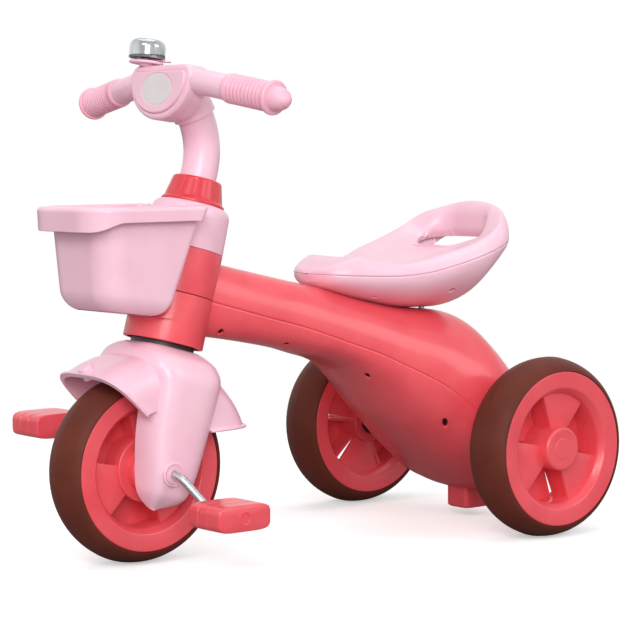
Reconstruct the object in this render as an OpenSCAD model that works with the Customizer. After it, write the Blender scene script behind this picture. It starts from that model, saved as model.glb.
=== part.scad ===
// Children's tricycle with a pedal-driven front wheel, a moulded two-shell body,
// a saddle with a hand hole and a front basket.
// Frame: +X is the rider's left, -Y is forward, +Z is up, the ground is z = 0.
// The origin is on the ground, under the middle of the whole length.

/* [Wheels] */
// Outer diameter of all three wheels
wheel_d = 180; // [170:1:190]
// Width of a tyre
tyre_w = 50.5; // [46:0.5:54]
// Height of the tyre crown above the rim flange
tyre_h = 12.5; // [9:0.5:15]
// Width of the flat ring around a rim face
rim_ring_w = 17; // [12:1:20]
// Distance between the middles of the rear wheels
rear_track = 296; // [286:1:320]
// Distance between the front and the rear axle
wheelbase = 392; // [380:1:410]
// Diameter of a wheel hub
hub_d = 44; // [40:1:48]

/* [Axles and pedals] */
// Diameter of the steel rods of the rear axle and the crank
rod_d = 8; // [7:0.5:9]
// Crank length from the wheel axis to a pedal spindle
crank_r = 35; // [30:1:42]
// Angle of the left crank below the horizontal, towards the rear
crank_angle = 64; // [40:1:80]
// Distance from the middle plane to the inner side of a pedal
pedal_in = 104; // [100:1:112]
// Width of a pedal along its spindle
pedal_w = 48; // [40:1:56]
// Length of a pedal along the foot
pedal_l = 60; // [52:1:66]
// Thickness of a pedal
pedal_t = 25; // [22:1:28]

/* [Steering] */
// Backward lean of the steering axis, degrees
rake = 15.5; // [12:0.5:18]
// Width across the fork legs
fork_w = 124; // [118:1:132]
// Gap between the fork legs
fork_gap = 59; // [57:0.5:62]
// Front-to-back depth of a fork leg at the axle
leg_depth = 76; // [68:1:82]
// Inner radius of the mudguard arch over the wheel
guard_r = 106; // [103:1:109]
// Outside diameter of the head tube
head_d = 77; // [72:1:82]
// Diameter of the steel steerer tube
steerer_d = 30; // [26:1:32]
// Diameter of the curved stem
stem_d = 35; // [33:1:38]
// Bend radius of the stem
stem_bend_r = 74; // [70:1:84]

/* [Handlebar] */
// Distance between the tips of the grips
bar_span = 336; // [320:1:350]
// Diameter of a handlebar tube
bar_d = 24; // [21:1:26]
// Diameter of a grip
grip_d = 28; // [27:0.5:31]
// Length of a grip without its rounded end
grip_l = 62; // [56:1:66]
// Backward sweep of the grips, degrees
bar_sweep = 6.8; // [4:0.2:9]
// Downward slope of the grips, degrees
bar_drop = 8.8; // [6:0.2:11]
// Width of the round console in the middle of the bar
console_w = 99; // [94:1:104]
// Diameter of the bell dome
bell_d = 35; // [31:1:38]

/* [Body and seat] */
// Wall of the moulded shells
wall = 3; // [2.4:0.2:4]
// Width of the body over the rear axle
body_w = 210; // [200:1:214]
// Height of the saddle's resting plane on the body
seat_z = 226; // [222:1:232]
// Length of the saddle
seat_l = 235.5; // [226:0.5:246]
// Width of the saddle
seat_w = 180; // [170:1:186]
// Height of the seat's rear rim above its resting plane
seat_rise = 106.5; // [98:0.5:114]

/* [Basket] */
// Width of the basket under its rim
basket_w = 107; // [100:1:114]
// Depth of the basket from front to back, under its rim
basket_l = 113; // [106:1:119]
// Height of the basket
basket_h = 104; // [96:1:110]
// Wall of the basket
basket_wall = 2.4; // [2:0.2:3.2]
// Overhang of the basket's rolled rim
rim_over = 10; // [8:1:12]

/* [Fits] */
// Radial clearance of a running fit
run_fit = 0.08; // [0.05:0.01:0.1]
// Gap kept between separate moulded pieces
skin_gap = 0.3; // [0.2:0.05:0.5]

/* [Hidden] */
$fn = 48;
wheel_r = wheel_d / 2;
flange_r = wheel_r - tyre_h;
hub_r = hub_d / 2;
rod_r = rod_d / 2;
head_r = head_d / 2;
steerer_r = steerer_d / 2;
stem_r = stem_d / 2;
bar_r = bar_d / 2;
grip_r = grip_d / 2;
track_x = rear_track / 2;

// Lengths along the steering axis, measured from the front axle
crown_h = wheel_r + 26;
ring_h = 4.4;
head_h0 = crown_h + ring_h;
head_h1 = head_h0 + 91.5;
part_h = head_h0 + 48;
bracket_h1 = head_h1 + 43.5;
collar_h1 = bracket_h1 + 25;

// The wheels reach furthest to the front and to the rear
total_l = wheelbase + wheel_d;
rear_y = wheelbase / 2;
front_y = rear_y - wheelbase;
axle_z = wheel_r;

CORAL = "#f9666d";
PINK = "#f8c8dc";
BROWN = "#6b4238";
STEEL = "#c9ccd0";
DARK = "#3a3335";

// ---------- helpers ----------

// Index of the stretch of a key list that holds t
function stretch(keys, t, i = 0) = i >= len(keys) - 2 || t < keys[i + 1][0] ? i : stretch(keys, t, i + 1);

// Slope of a key list at key i
function key_slope(keys, i) =
    let (a = max(i - 1, 0), b = min(i + 1, len(keys) - 1))
    (keys[b][1] - keys[a][1]) / (keys[b][0] - keys[a][0]);

// Smooth curve through [place, value] keys, as cubic stretches with shared slopes
function curve(keys, t) =
    let (i = stretch(keys, t), a = keys[i], b = keys[i + 1], d = b[0] - a[0], s = (t - a[0]) / d)
    (2 * s^3 - 3 * s^2 + 1) * a[1] + (s^3 - 2 * s^2 + s) * d * key_slope(keys, i)
    + (3 * s^2 - 2 * s^3) * b[1] + (s^3 - s^2) * d * key_slope(keys, i + 1);

function sgn_pow(v, p) = sign(v) * pow(abs(v), p);

// Points of an elliptic arc about (cx, cy)
function arc(cx, cy, rx, ry, a0, a1, n) = [for (i = [0:n]) let (a = a0 + (a1 - a0) * i / n)
    [cx + rx * cos(a), cy + ry * sin(a)]];

function reverse(list) = [for (i = [len(list) - 1:-1:0]) list[i]];

// Closed skin over rings of equal length, counter-clockwise seen from the last ring's side.
// The end rings are closed by a fan, or by strips when the rings are folded thin shells.
module skin(rings, folded = false) {
    n = len(rings);
    m = len(rings[0]);
    mid = function(ring) [for (k = [0:2]) let (c = [for (p = ring) p[k]]) c * [for (p = ring) 1] / m];
    points = concat([for (r = rings) each r], [mid(rings[0]), mid(rings[n - 1])]);
    sides = [for (i = [0:n - 2], j = [0:m - 1], k = [0, 1])
        let (a = i * m + j, b = i * m + (j + 1) % m, c = a + m, d = b + m)
        k == 0 ? [a, c, b] : [b, c, d]];
    e = (n - 1) * m;
    first = folded ? [for (j = [0:m / 2 - 2], k = [0, 1])
            k == 0 ? [j, j + 1, m - 1 - j] : [j + 1, m - 2 - j, m - 1 - j]]
        : [for (j = [0:m - 1]) [n * m, j, (j + 1) % m]];
    last = folded ? [for (j = [0:m / 2 - 2], k = [0, 1])
            k == 0 ? [e + j, e + m - 1 - j, e + j + 1] : [e + j + 1, e + m - 1 - j, e + m - 2 - j]]
        : [for (j = [0:m - 1]) [n * m + 1, e + (j + 1) % m, e + j]];
    polyhedron(points = folded ? [for (r = rings) each r] : points, faces = concat(sides, first, last), convexity = 8);
}

// The steering axis: origin at the front axle, local z up along the axis
module on_steering() translate([0, front_y, axle_z]) rotate([-rake, 0, 0]) children();

// Point of the steering axis at height z
function steering_y(z) = front_y + (z - axle_z) * tan(rake);

module rod(r, l) cylinder(r = r, h = l);

module along_x(x0) translate([x0, 0, 0]) rotate([0, 90, 0]) children();

module mirrored(side) if (side > 0) children(); else mirror([1, 0, 0]) children();

// ---------- wheels ----------

// Crown of a tyre as half-section points: a superellipse over the flange
tyre_steps = 14;
crown_power = 1.68;
rim_inset = 3;
function crown_pts(w) = [for (i = [0:tyre_steps])
    let (x = -cos(180 * i / tyre_steps))
    [flange_r + tyre_h * pow(max(0, 1 - pow(abs(x), crown_power)), 1 / crown_power), x * w / 2]];

barrel_r = flange_r - 9;

module tyre() color(BROWN) rotate([0, 90, 0]) rotate_extrude($fn = 96)
    polygon(concat(crown_pts(tyre_w), [
        [flange_r, face_x - rim_inset], [barrel_r, face_x - rim_inset - 2],
        [barrel_r, -face_x + rim_inset + 2], [flange_r, -face_x + rim_inset]]));

// Windows between the three broad spokes of a rim
spoke_count = 3;
window_span = 62;
web_t = 5;
well_r = flange_r - rim_ring_w - 6;
face_x = tyre_w / 2 - skin_gap;
web_x = face_x - 11;

module rim_window() along_x(-face_x) linear_extrude(2 * face_x)
    polygon(concat(
        [for (i = [-3:3]) (well_r - 2) * [cos(i * window_span / 6), sin(i * window_span / 6)]],
        [for (i = [3:-1:-3]) (hub_r + 5) * [cos(i * window_span / 6), sin(i * window_span / 6)]]));

// Half-section of a rim, from the outer flange over the barrel to the recessed webs
function rim_pts() = [
    [flange_r, face_x], [flange_r, face_x - rim_inset], [barrel_r, face_x - rim_inset - 2],
    [barrel_r, -face_x + rim_inset + 2], [flange_r, -face_x + rim_inset], [flange_r, -face_x],
    [flange_r - rim_ring_w, 1.5 - face_x], [well_r, 8 - face_x], [well_r, -web_x],
    [hub_r - 2, -web_x], [hub_r - 2, web_t - web_x], [barrel_r - 4, web_t - web_x],
    [barrel_r - 4, web_x - web_t], [hub_r - 2, web_x - web_t], [hub_r - 2, web_x],
    [well_r, web_x], [well_r, face_x - 8], [flange_r - rim_ring_w, face_x - 1.5]];

// A rim with its two webs, ribs along the windows, and a hub from hub_x0 to hub_x1
module rim(hub_x0, hub_x1, bore_r, turn) color(CORAL) difference() {
    union() {
        rotate([0, 90, 0]) rotate_extrude($fn = 96) polygon(rim_pts());
        along_x(hub_x0) rod(hub_r, hub_x1 - hub_x0);
        for (i = [1:spoke_count], s = [-1, 1])
            rotate([turn + 360 / spoke_count * i + s * (window_span / 2 + 5), 0, 0])
                translate([-web_x + 1, -1.5, -barrel_r + 3])
                    cube([2 * web_x - 2, 3, barrel_r - hub_r - 1]);
    }
    for (i = [1:spoke_count]) rotate([turn + 360 / spoke_count * i, 0, 0]) rim_window();
    along_x(hub_x0 - 1) rod(bore_r, hub_x1 - hub_x0 + 2);
}

// Round cap pressed into the outer end of a rear hub, over the axle nut
cap_r = 13;
cap_t = 5;
hub_out = tyre_w / 2;
nut_pocket = 12;
module hub_cap() color(CORAL) difference() {
    along_x(hub_out - nut_pocket) rod(cap_r, nut_pocket + 1);
    along_x(hub_out - nut_pocket - 1) rod(cap_r - 2, nut_pocket - cap_t + 3);
}

module at_rear(side) translate([side * track_x, rear_y, axle_z]) mirrored(side) children();

hub_in = -tyre_w / 2 + 2;
rear_turn = -12;
front_turn = 3;
module rear_rim(side) at_rear(side) difference() {
    rim(hub_in, hub_out, rod_r + run_fit, rear_turn);
    color(CORAL) along_x(hub_out - nut_pocket) rod(cap_r, nut_pocket + 1);
}

module left_rear_tyre() at_rear(1) tyre();
module right_rear_tyre() at_rear(-1) tyre();
module left_rear_rim() rear_rim(1);
module right_rear_rim() rear_rim(-1);
module left_hub_cap() at_rear(1) hub_cap();
module right_hub_cap() at_rear(-1) hub_cap();

// Rear axle: one steel rod through the body and both wheels
axle_end = track_x + hub_out - cap_t - 1;
module rear_axle() color(STEEL) translate([0, rear_y, axle_z]) along_x(-axle_end) rod(rod_r, 2 * axle_end);

// Push-on nuts that hold the rear wheels on the axle
nut_t = 3;
module axle_nuts() color(STEEL) for (s = [-1, 1]) at_rear(s) along_x(hub_out - nut_pocket + run_fit)
    difference() { rod(cap_r - 4, nut_t); translate([0, 0, -1]) rod(rod_r, nut_t + 2); }

// Washers between the body's axle bosses and the wheels
boss_x = track_x + hub_in - 2;
washer_t = 1.8;
module axle_washers() color(DARK) for (s = [-1, 1]) translate([0, rear_y, axle_z]) mirrored(s)
    along_x(boss_x) difference() { rod(cap_r, washer_t); translate([0, 0, -1]) rod(rod_r, washer_t + 2); }

// ---------- front wheel, crank and pedals ----------

module at_front() on_steering() children();
fork_x = fork_w / 2;
gap_x = fork_gap / 2;
front_hub_x = gap_x - 1;
key_h = 12;
key_l = 22;

module front_tyre() at_front() tyre();
module front_rim() at_front() difference() {
    rim(-front_hub_x, front_hub_x, rod_r, front_turn);
    color(CORAL) translate([-key_l / 2, -key_h / 2, -rod_r / 2]) cube([key_l, key_h, rod_r]);
}

// Crank rod: straight through the hub, bent down on one side and up on the other,
// with flattened wings that drive the hub
crank_x = fork_x + 9;
spindle_x = pedal_in - 4;
pedal_out = pedal_in + pedal_w;
spindle_end = pedal_out - 4;
crank_turn = crank_angle - rake;
bend_swell = 0.06;
arm_dx = spindle_x - crank_x;
arm_l = sqrt(crank_r^2 + arm_dx^2);
module crank_half() {
    along_x(0) rod(rod_r, crank_x);
    translate([crank_x, 0, 0]) sphere(rod_r + bend_swell);
    translate([crank_x, 0, 0]) rotate([-crank_turn, 0, 0]) rotate([0, 0, atan2(crank_r, arm_dx)])
        along_x(0) rod(rod_r, arm_l);
    on_crank() { sphere(rod_r + bend_swell); along_x(0) rod(rod_r, spindle_end - spindle_x); }
}
// Places its children at the inner end of the left pedal spindle
module on_crank() translate([spindle_x, crank_r * cos(crank_turn), -crank_r * sin(crank_turn)]) children();
module crank_axle() color(STEEL) at_front() {
    crank_half();
    rotate([180, 0, 0]) mirror([1, 0, 0]) crank_half();
    translate([-key_l / 2, -key_h / 2, -rod_r / 2]) cube([key_l, key_h, rod_r]);
}

// Nylon bushes of the crank rod in the fork legs
bush_r = rod_r + 3;
bush_flange_r = bush_r + 2;
module crank_bush(s) color("#f1e9ea") at_front() mirrored(s) difference() {
    union() {
        along_x(gap_x) rod(bush_r, fork_x - gap_x);
        along_x(fork_x) rod(bush_flange_r, 1.6);
    }
    along_x(gap_x - 1) rod(rod_r + run_fit, fork_x - gap_x + 4);
}
module left_crank_bush() crank_bush(1);
module right_crank_bush() crank_bush(-1);

// Pedal: a grooved block with hollow ends round its spindle
pedal_bore_l = pedal_w - 6;
module pedal(s) color(CORAL) at_front() rotate([s > 0 ? 0 : 180, 0, 0]) mirrored(s)
    on_crank() rotate([s > 0 ? rake : rake + 180, 0, 0]) translate([pedal_in - spindle_x, 0, 0]) difference() {
        union() {
            pedal_outline(pedal_w, pedal_l, pedal_t);
            for (x = [0, pedal_w / 2 - 4, pedal_w - 8])
                translate([x, -pedal_l / 2 - 1, -pedal_t / 2 + 1]) cube([8, pedal_l + 2, pedal_t - 2]);
        }
        along_x(-1) rod(rod_r + run_fit, pedal_w + 2);
        for (y = [-1, 1]) translate([-1, y * (pedal_l / 4 + 2) - 7, -pedal_t / 2 + 4])
            cube([pedal_w - 7, 14, pedal_t - 8]);
        along_x(pedal_w - 5) rod(rod_r + 3.4, 6);
    }
module pedal_outline(w, l, t) rotate([90, 0, 90]) linear_extrude(w) polygon([
    [-l / 2, -t / 2 + 4], [-l / 2 + 5, -t / 2], [l / 2 - 5, -t / 2], [l / 2, -t / 2 + 4],
    [l / 2, t / 2 - 5], [l / 2 - 4, t / 2], [-l / 2 + 4, t / 2], [-l / 2, t / 2 - 5]]);
module pedal_nut(s) color(STEEL) at_front() rotate([s > 0 ? 0 : 180, 0, 0]) mirrored(s)
    on_crank() along_x(pedal_in - spindle_x + pedal_w - 5 + run_fit)
        difference() { rod(rod_r + 3, 1); translate([0, 0, -1]) rod(rod_r, 3); }
module left_pedal() pedal(1);
module right_pedal() pedal(-1);
module left_pedal_nut() pedal_nut(1);
module right_pedal_nut() pedal_nut(-1);

// ---------- fork ----------

// Outside of the fork, ring by ring along the steering axis: half width, and half
// depth in front of the axis and behind it
leg_end_h = 2 - leg_depth / 2;
fork_width_keys = [[0, 0.54], [0.05, 0.72], [0.13, 0.9], [0.25, 1], [0.45, 1], [0.75, 1.02],
    [0.86, 0.98], [0.94, 0.84], [0.985, 0.62], [1, 0.5]];
fork_front_keys = [[0, 0.14], [0.05, 0.29], [0.13, 0.46], [0.25, 0.605], [0.45, 0.785], [0.75, 0.93],
    [0.86, 1.06], [0.94, 1.04], [0.985, 0.9], [1, 0.8]];
fork_rear_keys = [[0, 0.3], [0.05, 0.79], [0.13, 0.985], [0.25, 1.07], [0.45, 1.16], [0.75, 1.23],
    [0.86, 1.25], [0.94, 1.1], [0.985, 0.9], [1, 0.8]];
fork_rings = 22;
fork_sides = 32;
function fork_ring_pts(s) =
    let (a = fork_x * curve(fork_width_keys, s), front = leg_depth / 2 * curve(fork_front_keys, s),
        rear = leg_depth / 2 * curve(fork_rear_keys, s), h = leg_end_h + s * (crown_h - leg_end_h))
    [for (j = [0:fork_sides - 1]) let (t = 360 * j / fork_sides)
        [a * sgn_pow(cos(t), 0.55), (sin(t) < 0 ? front : rear) * sgn_pow(sin(t), 0.55), h]];

// Mudguard: an arch about the wheel axis, cut by a slanting plane at the front
// and by a level one at the back, with a small lip along both cuts
guard_x = 50.5;
guard_t = 2.8;
lip_t = 2.6;
lip_w = 2.6;
guard_rear_z = 34;
guard_front_sum = 31;
function arch_pts(grow) = [for (i = [0:12]) let (t = 15 * i)
    [guard_r - 46 + (46 + grow) * sgn_pow(sin(t), 0.57), (guard_x + grow) * sgn_pow(cos(t), 0.57)]];
module arch(grow0, grow1) rotate([0, 90, 0]) rotate([0, 0, 90]) rotate_extrude(angle = 180, $fn = 96)
    polygon(concat(arch_pts(grow1), reverse(arch_pts(grow0))));
// Region of the arch seen from the side, inset from both cuts
module guard_region(inset) translate([-80, 0, 0]) rotate([90, 0, 90]) linear_extrude(160)
    let (z = guard_rear_z + inset, d = guard_front_sum + inset * sqrt(2))
        polygon([[d - z, z], [130, z], [130, 150], [d - 150, 150]]);
module mudguard() rotate([rake, 0, 0]) {
    intersection() { arch(0, guard_t); guard_region(0); }
    intersection() {
        arch(guard_t - 0.5, guard_t + lip_w);
        difference() { guard_region(0); guard_region(lip_t); }
    }
    rotate([29, 0, 0]) translate([0, 0, guard_r]) rotate([8, 0, 0]) rod(7, 9);
}

module fork() color(PINK) at_front() difference() {
    union() {
        skin([for (i = [0:fork_rings]) fork_ring_pts((1 - cos(180 * i / fork_rings)) / 2)]);
        mudguard();
        for (s = [-1, 1]) mirrored(s) along_x(fork_x - 5) rod(boss_rim_r, 5 + boss_rim_t);
    }
    along_x(-gap_x) rod(wheel_r + 7, fork_gap);
    translate([-gap_x, -80, -80]) cube([fork_gap, 160, 80]);
    along_x(-fork_x - 5) rod(bush_r, fork_w + 10);
    for (s = [-1, 1]) mirrored(s) along_x(fork_x) rod(bush_flange_r + run_fit, 5);
    translate([0, 0, crown_h - socket_l]) rod(steerer_r, socket_l + 1);
    for (s = [-1, 1]) mirrored(s) difference() {
        leg_pocket();
        along_x(0) rod(bush_r + 5, fork_w);
    }
}
// Pocket that leaves a leg as a shell open towards the wheel
leg_wall = 4.5;
module leg_pocket() let (b = leg_depth / 2 - leg_wall - 1.5, f = b - 0.44 * leg_depth / 2, x1 = fork_x - leg_wall)
    translate([0, 0, -2]) linear_extrude(wheel_r - 4)
        polygon([[gap_x - 1, -f], [x1 - 10, -f], [x1, -f + 12], [x1, b - 12], [x1 - 10, b], [gap_x - 1, b]]);
// Raised rim round each crank bush
boss_rim_r = bush_flange_r + 2.4;
boss_rim_t = 1.2;
socket_l = 18;

// Dark ring between the fork crown and the head tube
module ring(r1, r0, h) difference() { rod(r1, h); translate([0, 0, -1]) rod(r0, h + 2); }
fork_ring_r = 30.5;
module fork_ring() color(DARK) on_steering() translate([0, 0, crown_h])
    ring(fork_ring_r, steerer_r, ring_h - skin_gap);

// Steel steerer tube, pressed into the fork crown and the stem
steerer_wall = 2;
steerer_h1 = collar_h1 - 4;
module steerer_tube() color(STEEL) on_steering() translate([0, 0, crown_h - socket_l])
    ring(steerer_r, steerer_r - steerer_wall, steerer_h1 - crown_h + socket_l);

// Nylon bushes at both ends of the head tube
head_bush_l = 18;
head_bush_r = steerer_r + 4;
module head_bush(h) color("#efe9e4") on_steering() translate([0, 0, h])
    ring(head_bush_r, steerer_r + run_fit, head_bush_l);
module lower_head_bush() head_bush(head_h0);
module upper_head_bush() head_bush(head_h1 - head_bush_l);

// ---------- body ----------

// The body follows a line from the neck on the steering axis to the rear axle.
// u is the share along that line, 1 at the rear axle and body_end at the tail.
neck_h = head_h0 + 35;
neck_y = front_y + neck_h * sin(rake);
neck_z = axle_z + neck_h * cos(rake);
spine_l = rear_y - neck_y;
body_start = 0.055;
body_end = 1.245;
tail_start = 1.08;
function spine_z(u) = neck_z + (axle_z - neck_z) * min(u, 1);
function spine_y(u) = neck_y + spine_l * u;
function lean(u) = tan(rake) * max(0, 1 - u / 0.45);
function tail(u) = u < tail_start ? 1 : sqrt(max(0, 1 - pow((u - tail_start) / (body_end - tail_start), 2)));

// Heights above the spine, [share, mm]
part_keys = [[0.055, 15], [0.151, 19.7], [0.255, 24.8], [0.347, 30.2], [0.438, 33.7], [0.526, 35.6], [0.609, 37],
    [0.688, 34.9], [0.766, 31.7], [0.827, 25.9], [0.875, 18.5], [0.925, 11], [1, 2], [1.1, -3], [body_end, -5]];
top_keys = [[0.055, 52.5], [0.174, 60.5], [0.34, 73], [0.43, seat_z + 28.4 - spine_z(0.43)],
    [0.5, seat_z + 22.2 - spine_z(0.5)], [0.62, seat_z + 9.3 - spine_z(0.62)],
    [0.74, seat_z + 0.8 - spine_z(0.74)], [0.857, seat_z - 2 - spine_z(0.857)],
    [0.943, seat_z - 6.5 - spine_z(0.943)], [1, seat_z - 21.5 - spine_z(1)], [1.069, seat_z - 51 - spine_z(1)],
    [1.126, seat_z - 72 - spine_z(1)], [1.18, seat_z - 87 - spine_z(1)], [body_end, seat_z - 100 - spine_z(1)]];
bottom_keys = [[0.055, -19], [0.174, -8], [0.34, 5], [0.43, 9.5], [0.5, 13], [0.57, 12], [0.646, 0],
    [0.72, -17], [0.85, -36], [0.934, -46], [1, -53], [1.05, -60], [body_end, -62]];
// Half width over the axle is body_w / 2; the rest are shares of it
width_keys = [[0.055, 0.245], [0.174, 0.3], [0.34, 0.36], [0.43, 0.41], [0.57, 0.5], [0.72, 0.67],
    [0.85, 0.85], [0.94, 0.95], [1, 1], [1.1, 0.99], [body_end, 0.94]];

// A point of the body at share u and angle t: 0 and 180 at the parting line, 90 on top, -90 below.
// deep is how far it lies inside the outer skin.
function body_pt(u, t, deep) =
    let (g = tail(u), w = max(body_w / 2 * curve(width_keys, u) * g, 0.6),
        zp = curve(part_keys, u), e = curve(t > 0 ? top_keys : bottom_keys, u),
        h = max(abs(e - zp) * g, 0.6), wi = w - deep * min(1, w / 12), hi = h - deep * min(1, h / 12),
        z = zp + sign(t) * (skin_gap / 5 + hi * pow(abs(sin(t)), 0.85)))
    [wi * sgn_pow(cos(t), 0.85),
        spine_y(u) - (u - body_start) / (body_end - body_start) * deep + z * lean(u), spine_z(u) + z];

body_rings = 26;
body_sides = 18;
function body_u(i) = body_start + (body_end - body_start) * sin(90 * i / body_rings);
// One half of the body, side 1 above the parting line and -1 below it: as a shell and as a solid
function body_arc(u, side, deep) = [for (j = [0:body_sides]) body_pt(u, side * max(0.001, 180 * j / body_sides), deep)];
function body_ring_u(i, side) = body_u(side > 0 ? body_rings - i : i);
module body_half_shell(side) skin([for (i = [0:body_rings]) let (u = body_ring_u(i, side))
    concat(body_arc(u, side, 0), reverse(body_arc(u, side, wall)))], folded = true);
module body_half_solid(side, deep) skin([for (i = [0:body_rings]) body_arc(body_ring_u(i, side), side, deep)]);

// Head tube: an outer barrel, an inner sleeve for the bushes and ribs between them
head_wall = 3.5;
rib_count = 8;
module head_part(h0, h1) on_steering() {
    translate([0, 0, h0]) ring(head_r, head_r - head_wall, h1 - h0);
    translate([0, 0, h0]) ring(head_bush_r + 3, head_bush_r, h1 - h0);
    for (i = [1:rib_count]) rotate([0, 0, 360 / rib_count * (i + 0.5)])
        translate([head_bush_r + 2, -1.2, h0]) cube([head_r - head_bush_r - 4, 2.4, h1 - h0]);
}

// Screw places along the sides of the body, [share of the spine, share of the half width]
screw_at = [[0.115, 0.68], [0.335, 0.66], [0.605, 0.66], [0.81, 0.86]];
screw_r = 2;
boss_r = 5;
function screw_x(q) = body_w / 2 * curve(width_keys, q[0]) * q[1];
function screw_y(q) = spine_y(q[0]) + curve(part_keys, q[0]) * lean(q[0]);
module at_screws() for (q = screw_at, s = [-1, 1])
    translate([s * screw_x(q), screw_y(q), spine_z(q[0]) + curve(part_keys, q[0])]) children();

seat_bolt_u = [0.74, 0.9];
seat_bolt_r = 3;
module at_seat_bolts() for (u = seat_bolt_u) translate([0, spine_y(u), spine_z(u) + curve(top_keys, u)]) children();

// One half of the body: its shell outside the head tube, its part of the head tube and its screw bosses
well_r0 = 3.4;
screw_deep = 12;
screw_up = 9;
module body_half(side, h0, h1) {
    difference() {
        body_half_shell(side);
        on_steering() translate([0, 0, head_h0 - 20]) rod(head_r - 1, 160);
        on_steering() translate([0, 0, head_h1]) rod(head_r + 3, 60);
        on_steering() translate([0, 0, side > 0 ? head_h0 - 20 : part_h])
            rod(head_r + skin_gap, side > 0 ? part_h - head_h0 + 20 : 160);
    }
    head_part(h0, h1);
    difference() {
        intersection() {
            body_half_solid(side, wall / 2);
            at_screws() translate([0, 0, side > 0 ? 0 : -80]) rod(boss_r, 80);
        }
        on_steering() translate([0, 0, head_h0 - 20]) rod(head_r - 1, 160);
    }
}
module body_upper() color(CORAL) difference() {
    body_half(1, part_h + 0.05, head_h1);
    at_seat_bolts() translate([0, 0, -20]) rod(seat_bolt_r, 40);
    bolt_seats(-1);
    at_screws() translate([0, 0, -1]) rod(screw_r, screw_up + 1);
    translate([0, rear_y, axle_z]) along_x(-boss_x - 1) rod(axle_boss_r + skin_gap, 2 * boss_x + 2);
}

axle_boss_r = 10;
foot_w = 34;
foot_l = 46;
foot_gap = 9.5;
foot_y = rear_y + 12;
foot_drop = 50.5;
foot_h = axle_z - foot_drop - foot_gap;
module body_lower() color(CORAL) difference() {
    union() {
        body_half(-1, head_h0, part_h);
        translate([0, rear_y, axle_z]) along_x(-boss_x) rod(axle_boss_r, 2 * boss_x);
        difference() {
            translate([-foot_w / 2, foot_y, foot_gap]) cube([foot_w, foot_l, foot_h]);
            translate([-foot_w / 2 + wall, foot_y + wall, foot_gap - 1])
                cube([foot_w - 2 * wall, foot_l - 2 * wall, foot_h - wall]);
        }
    }
    translate([0, rear_y, axle_z]) along_x(-boss_x - 1) rod(rod_r, 2 * boss_x + 2);
    at_screws() { translate([0, 0, -81]) rod(screw_r, 82); translate([0, 0, -81]) rod(well_r0, 81 - screw_deep); }
}

// Screws that hold the two body shells together, from below
head_t = 2.4;
screw_head_r = 3.2;
module body_screws() color(STEEL) at_screws() {
    translate([0, 0, -screw_deep]) rod(screw_r, screw_deep + screw_up);
    translate([0, 0, -screw_deep - head_t]) rod(screw_head_r, head_t);
}

// ---------- seat ----------

// The saddle runs from its nose to its rear rim; s is the share along it
seat_back = 50;
nose_y = rear_y + seat_back - seat_l;
function seat_y(s) = nose_y + seat_l * s;
seat_width_keys = [[0, 0.02], [0.008, 0.17], [0.02, 0.28], [0.045, 0.385], [0.08, 0.455], [0.12, 0.51],
    [0.2, 0.6], [0.33, 0.73], [0.45, 0.87], [0.58, 0.98], [0.7, 1], [0.8, 0.945], [0.88, 0.809], [0.94, 0.607],
    [0.975, 0.441], [0.992, 0.262], [1, 0.03]];
// Heights above the resting plane: the parting line, the crest of the rim over it,
// the dish under the crest, and the underside
seat_part_keys = [[0, 38.5], [0.15, 36.4], [0.3, 35.6], [0.42, 38.7], [0.53, 45.3], [0.66, 53.7], [0.82, 64],
    [0.92, 69.8], [1, 71]];
seat_crest_keys = [[0, 0.6], [0.012, 4.3], [0.045, 9.3], [0.09, 16.2], [0.15, 22.6], [0.22, 18.7],
    [0.32, 14.7], [0.42, 14.8], [0.55, 15.5], [0.69, 16.7], [0.81, seat_rise - 82.3], [0.9, seat_rise - 65.5],
    [0.955, seat_rise - 62.5], [0.985, seat_rise - 83], [1, 0.6]];
seat_dish_keys = [[0, 0], [0.07, 1], [0.13, 4], [0.2, 6], [0.35, 6.5], [0.55, 9.5], [0.63, 11.2], [0.7, 13],
    [0.75, 14.5], [0.82, 21], [0.92, 14], [1, 0]];
seat_floor_keys = [[0, 38], [0.012, 30], [0.05, 23], [0.15, 14.9], [0.28, 7.6], [0.42, 1.1], [0.58, -1.3], [0.7, 0.5],
    [0.76, 13.6], [0.83, 34.2], [0.9, 53.5], [0.96, 65], [1, 71]];

// How square the rim is across, and how the dish falls towards the middle
seat_edge_keys = [[0, 5], [0.8, 5], [0.87, 4], [0.93, 2.4], [1, 2.2]];
dish_pow = 3;
// The parting line runs inside the rear rim, which rolls over it
seat_tuck = 8;
tuck_s = 0.84;
tuck_h = 12;
function tuck(s) = seat_tuck * pow(max(0, (s - tuck_s) / (1 - tuck_s)), 1.5);

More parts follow.
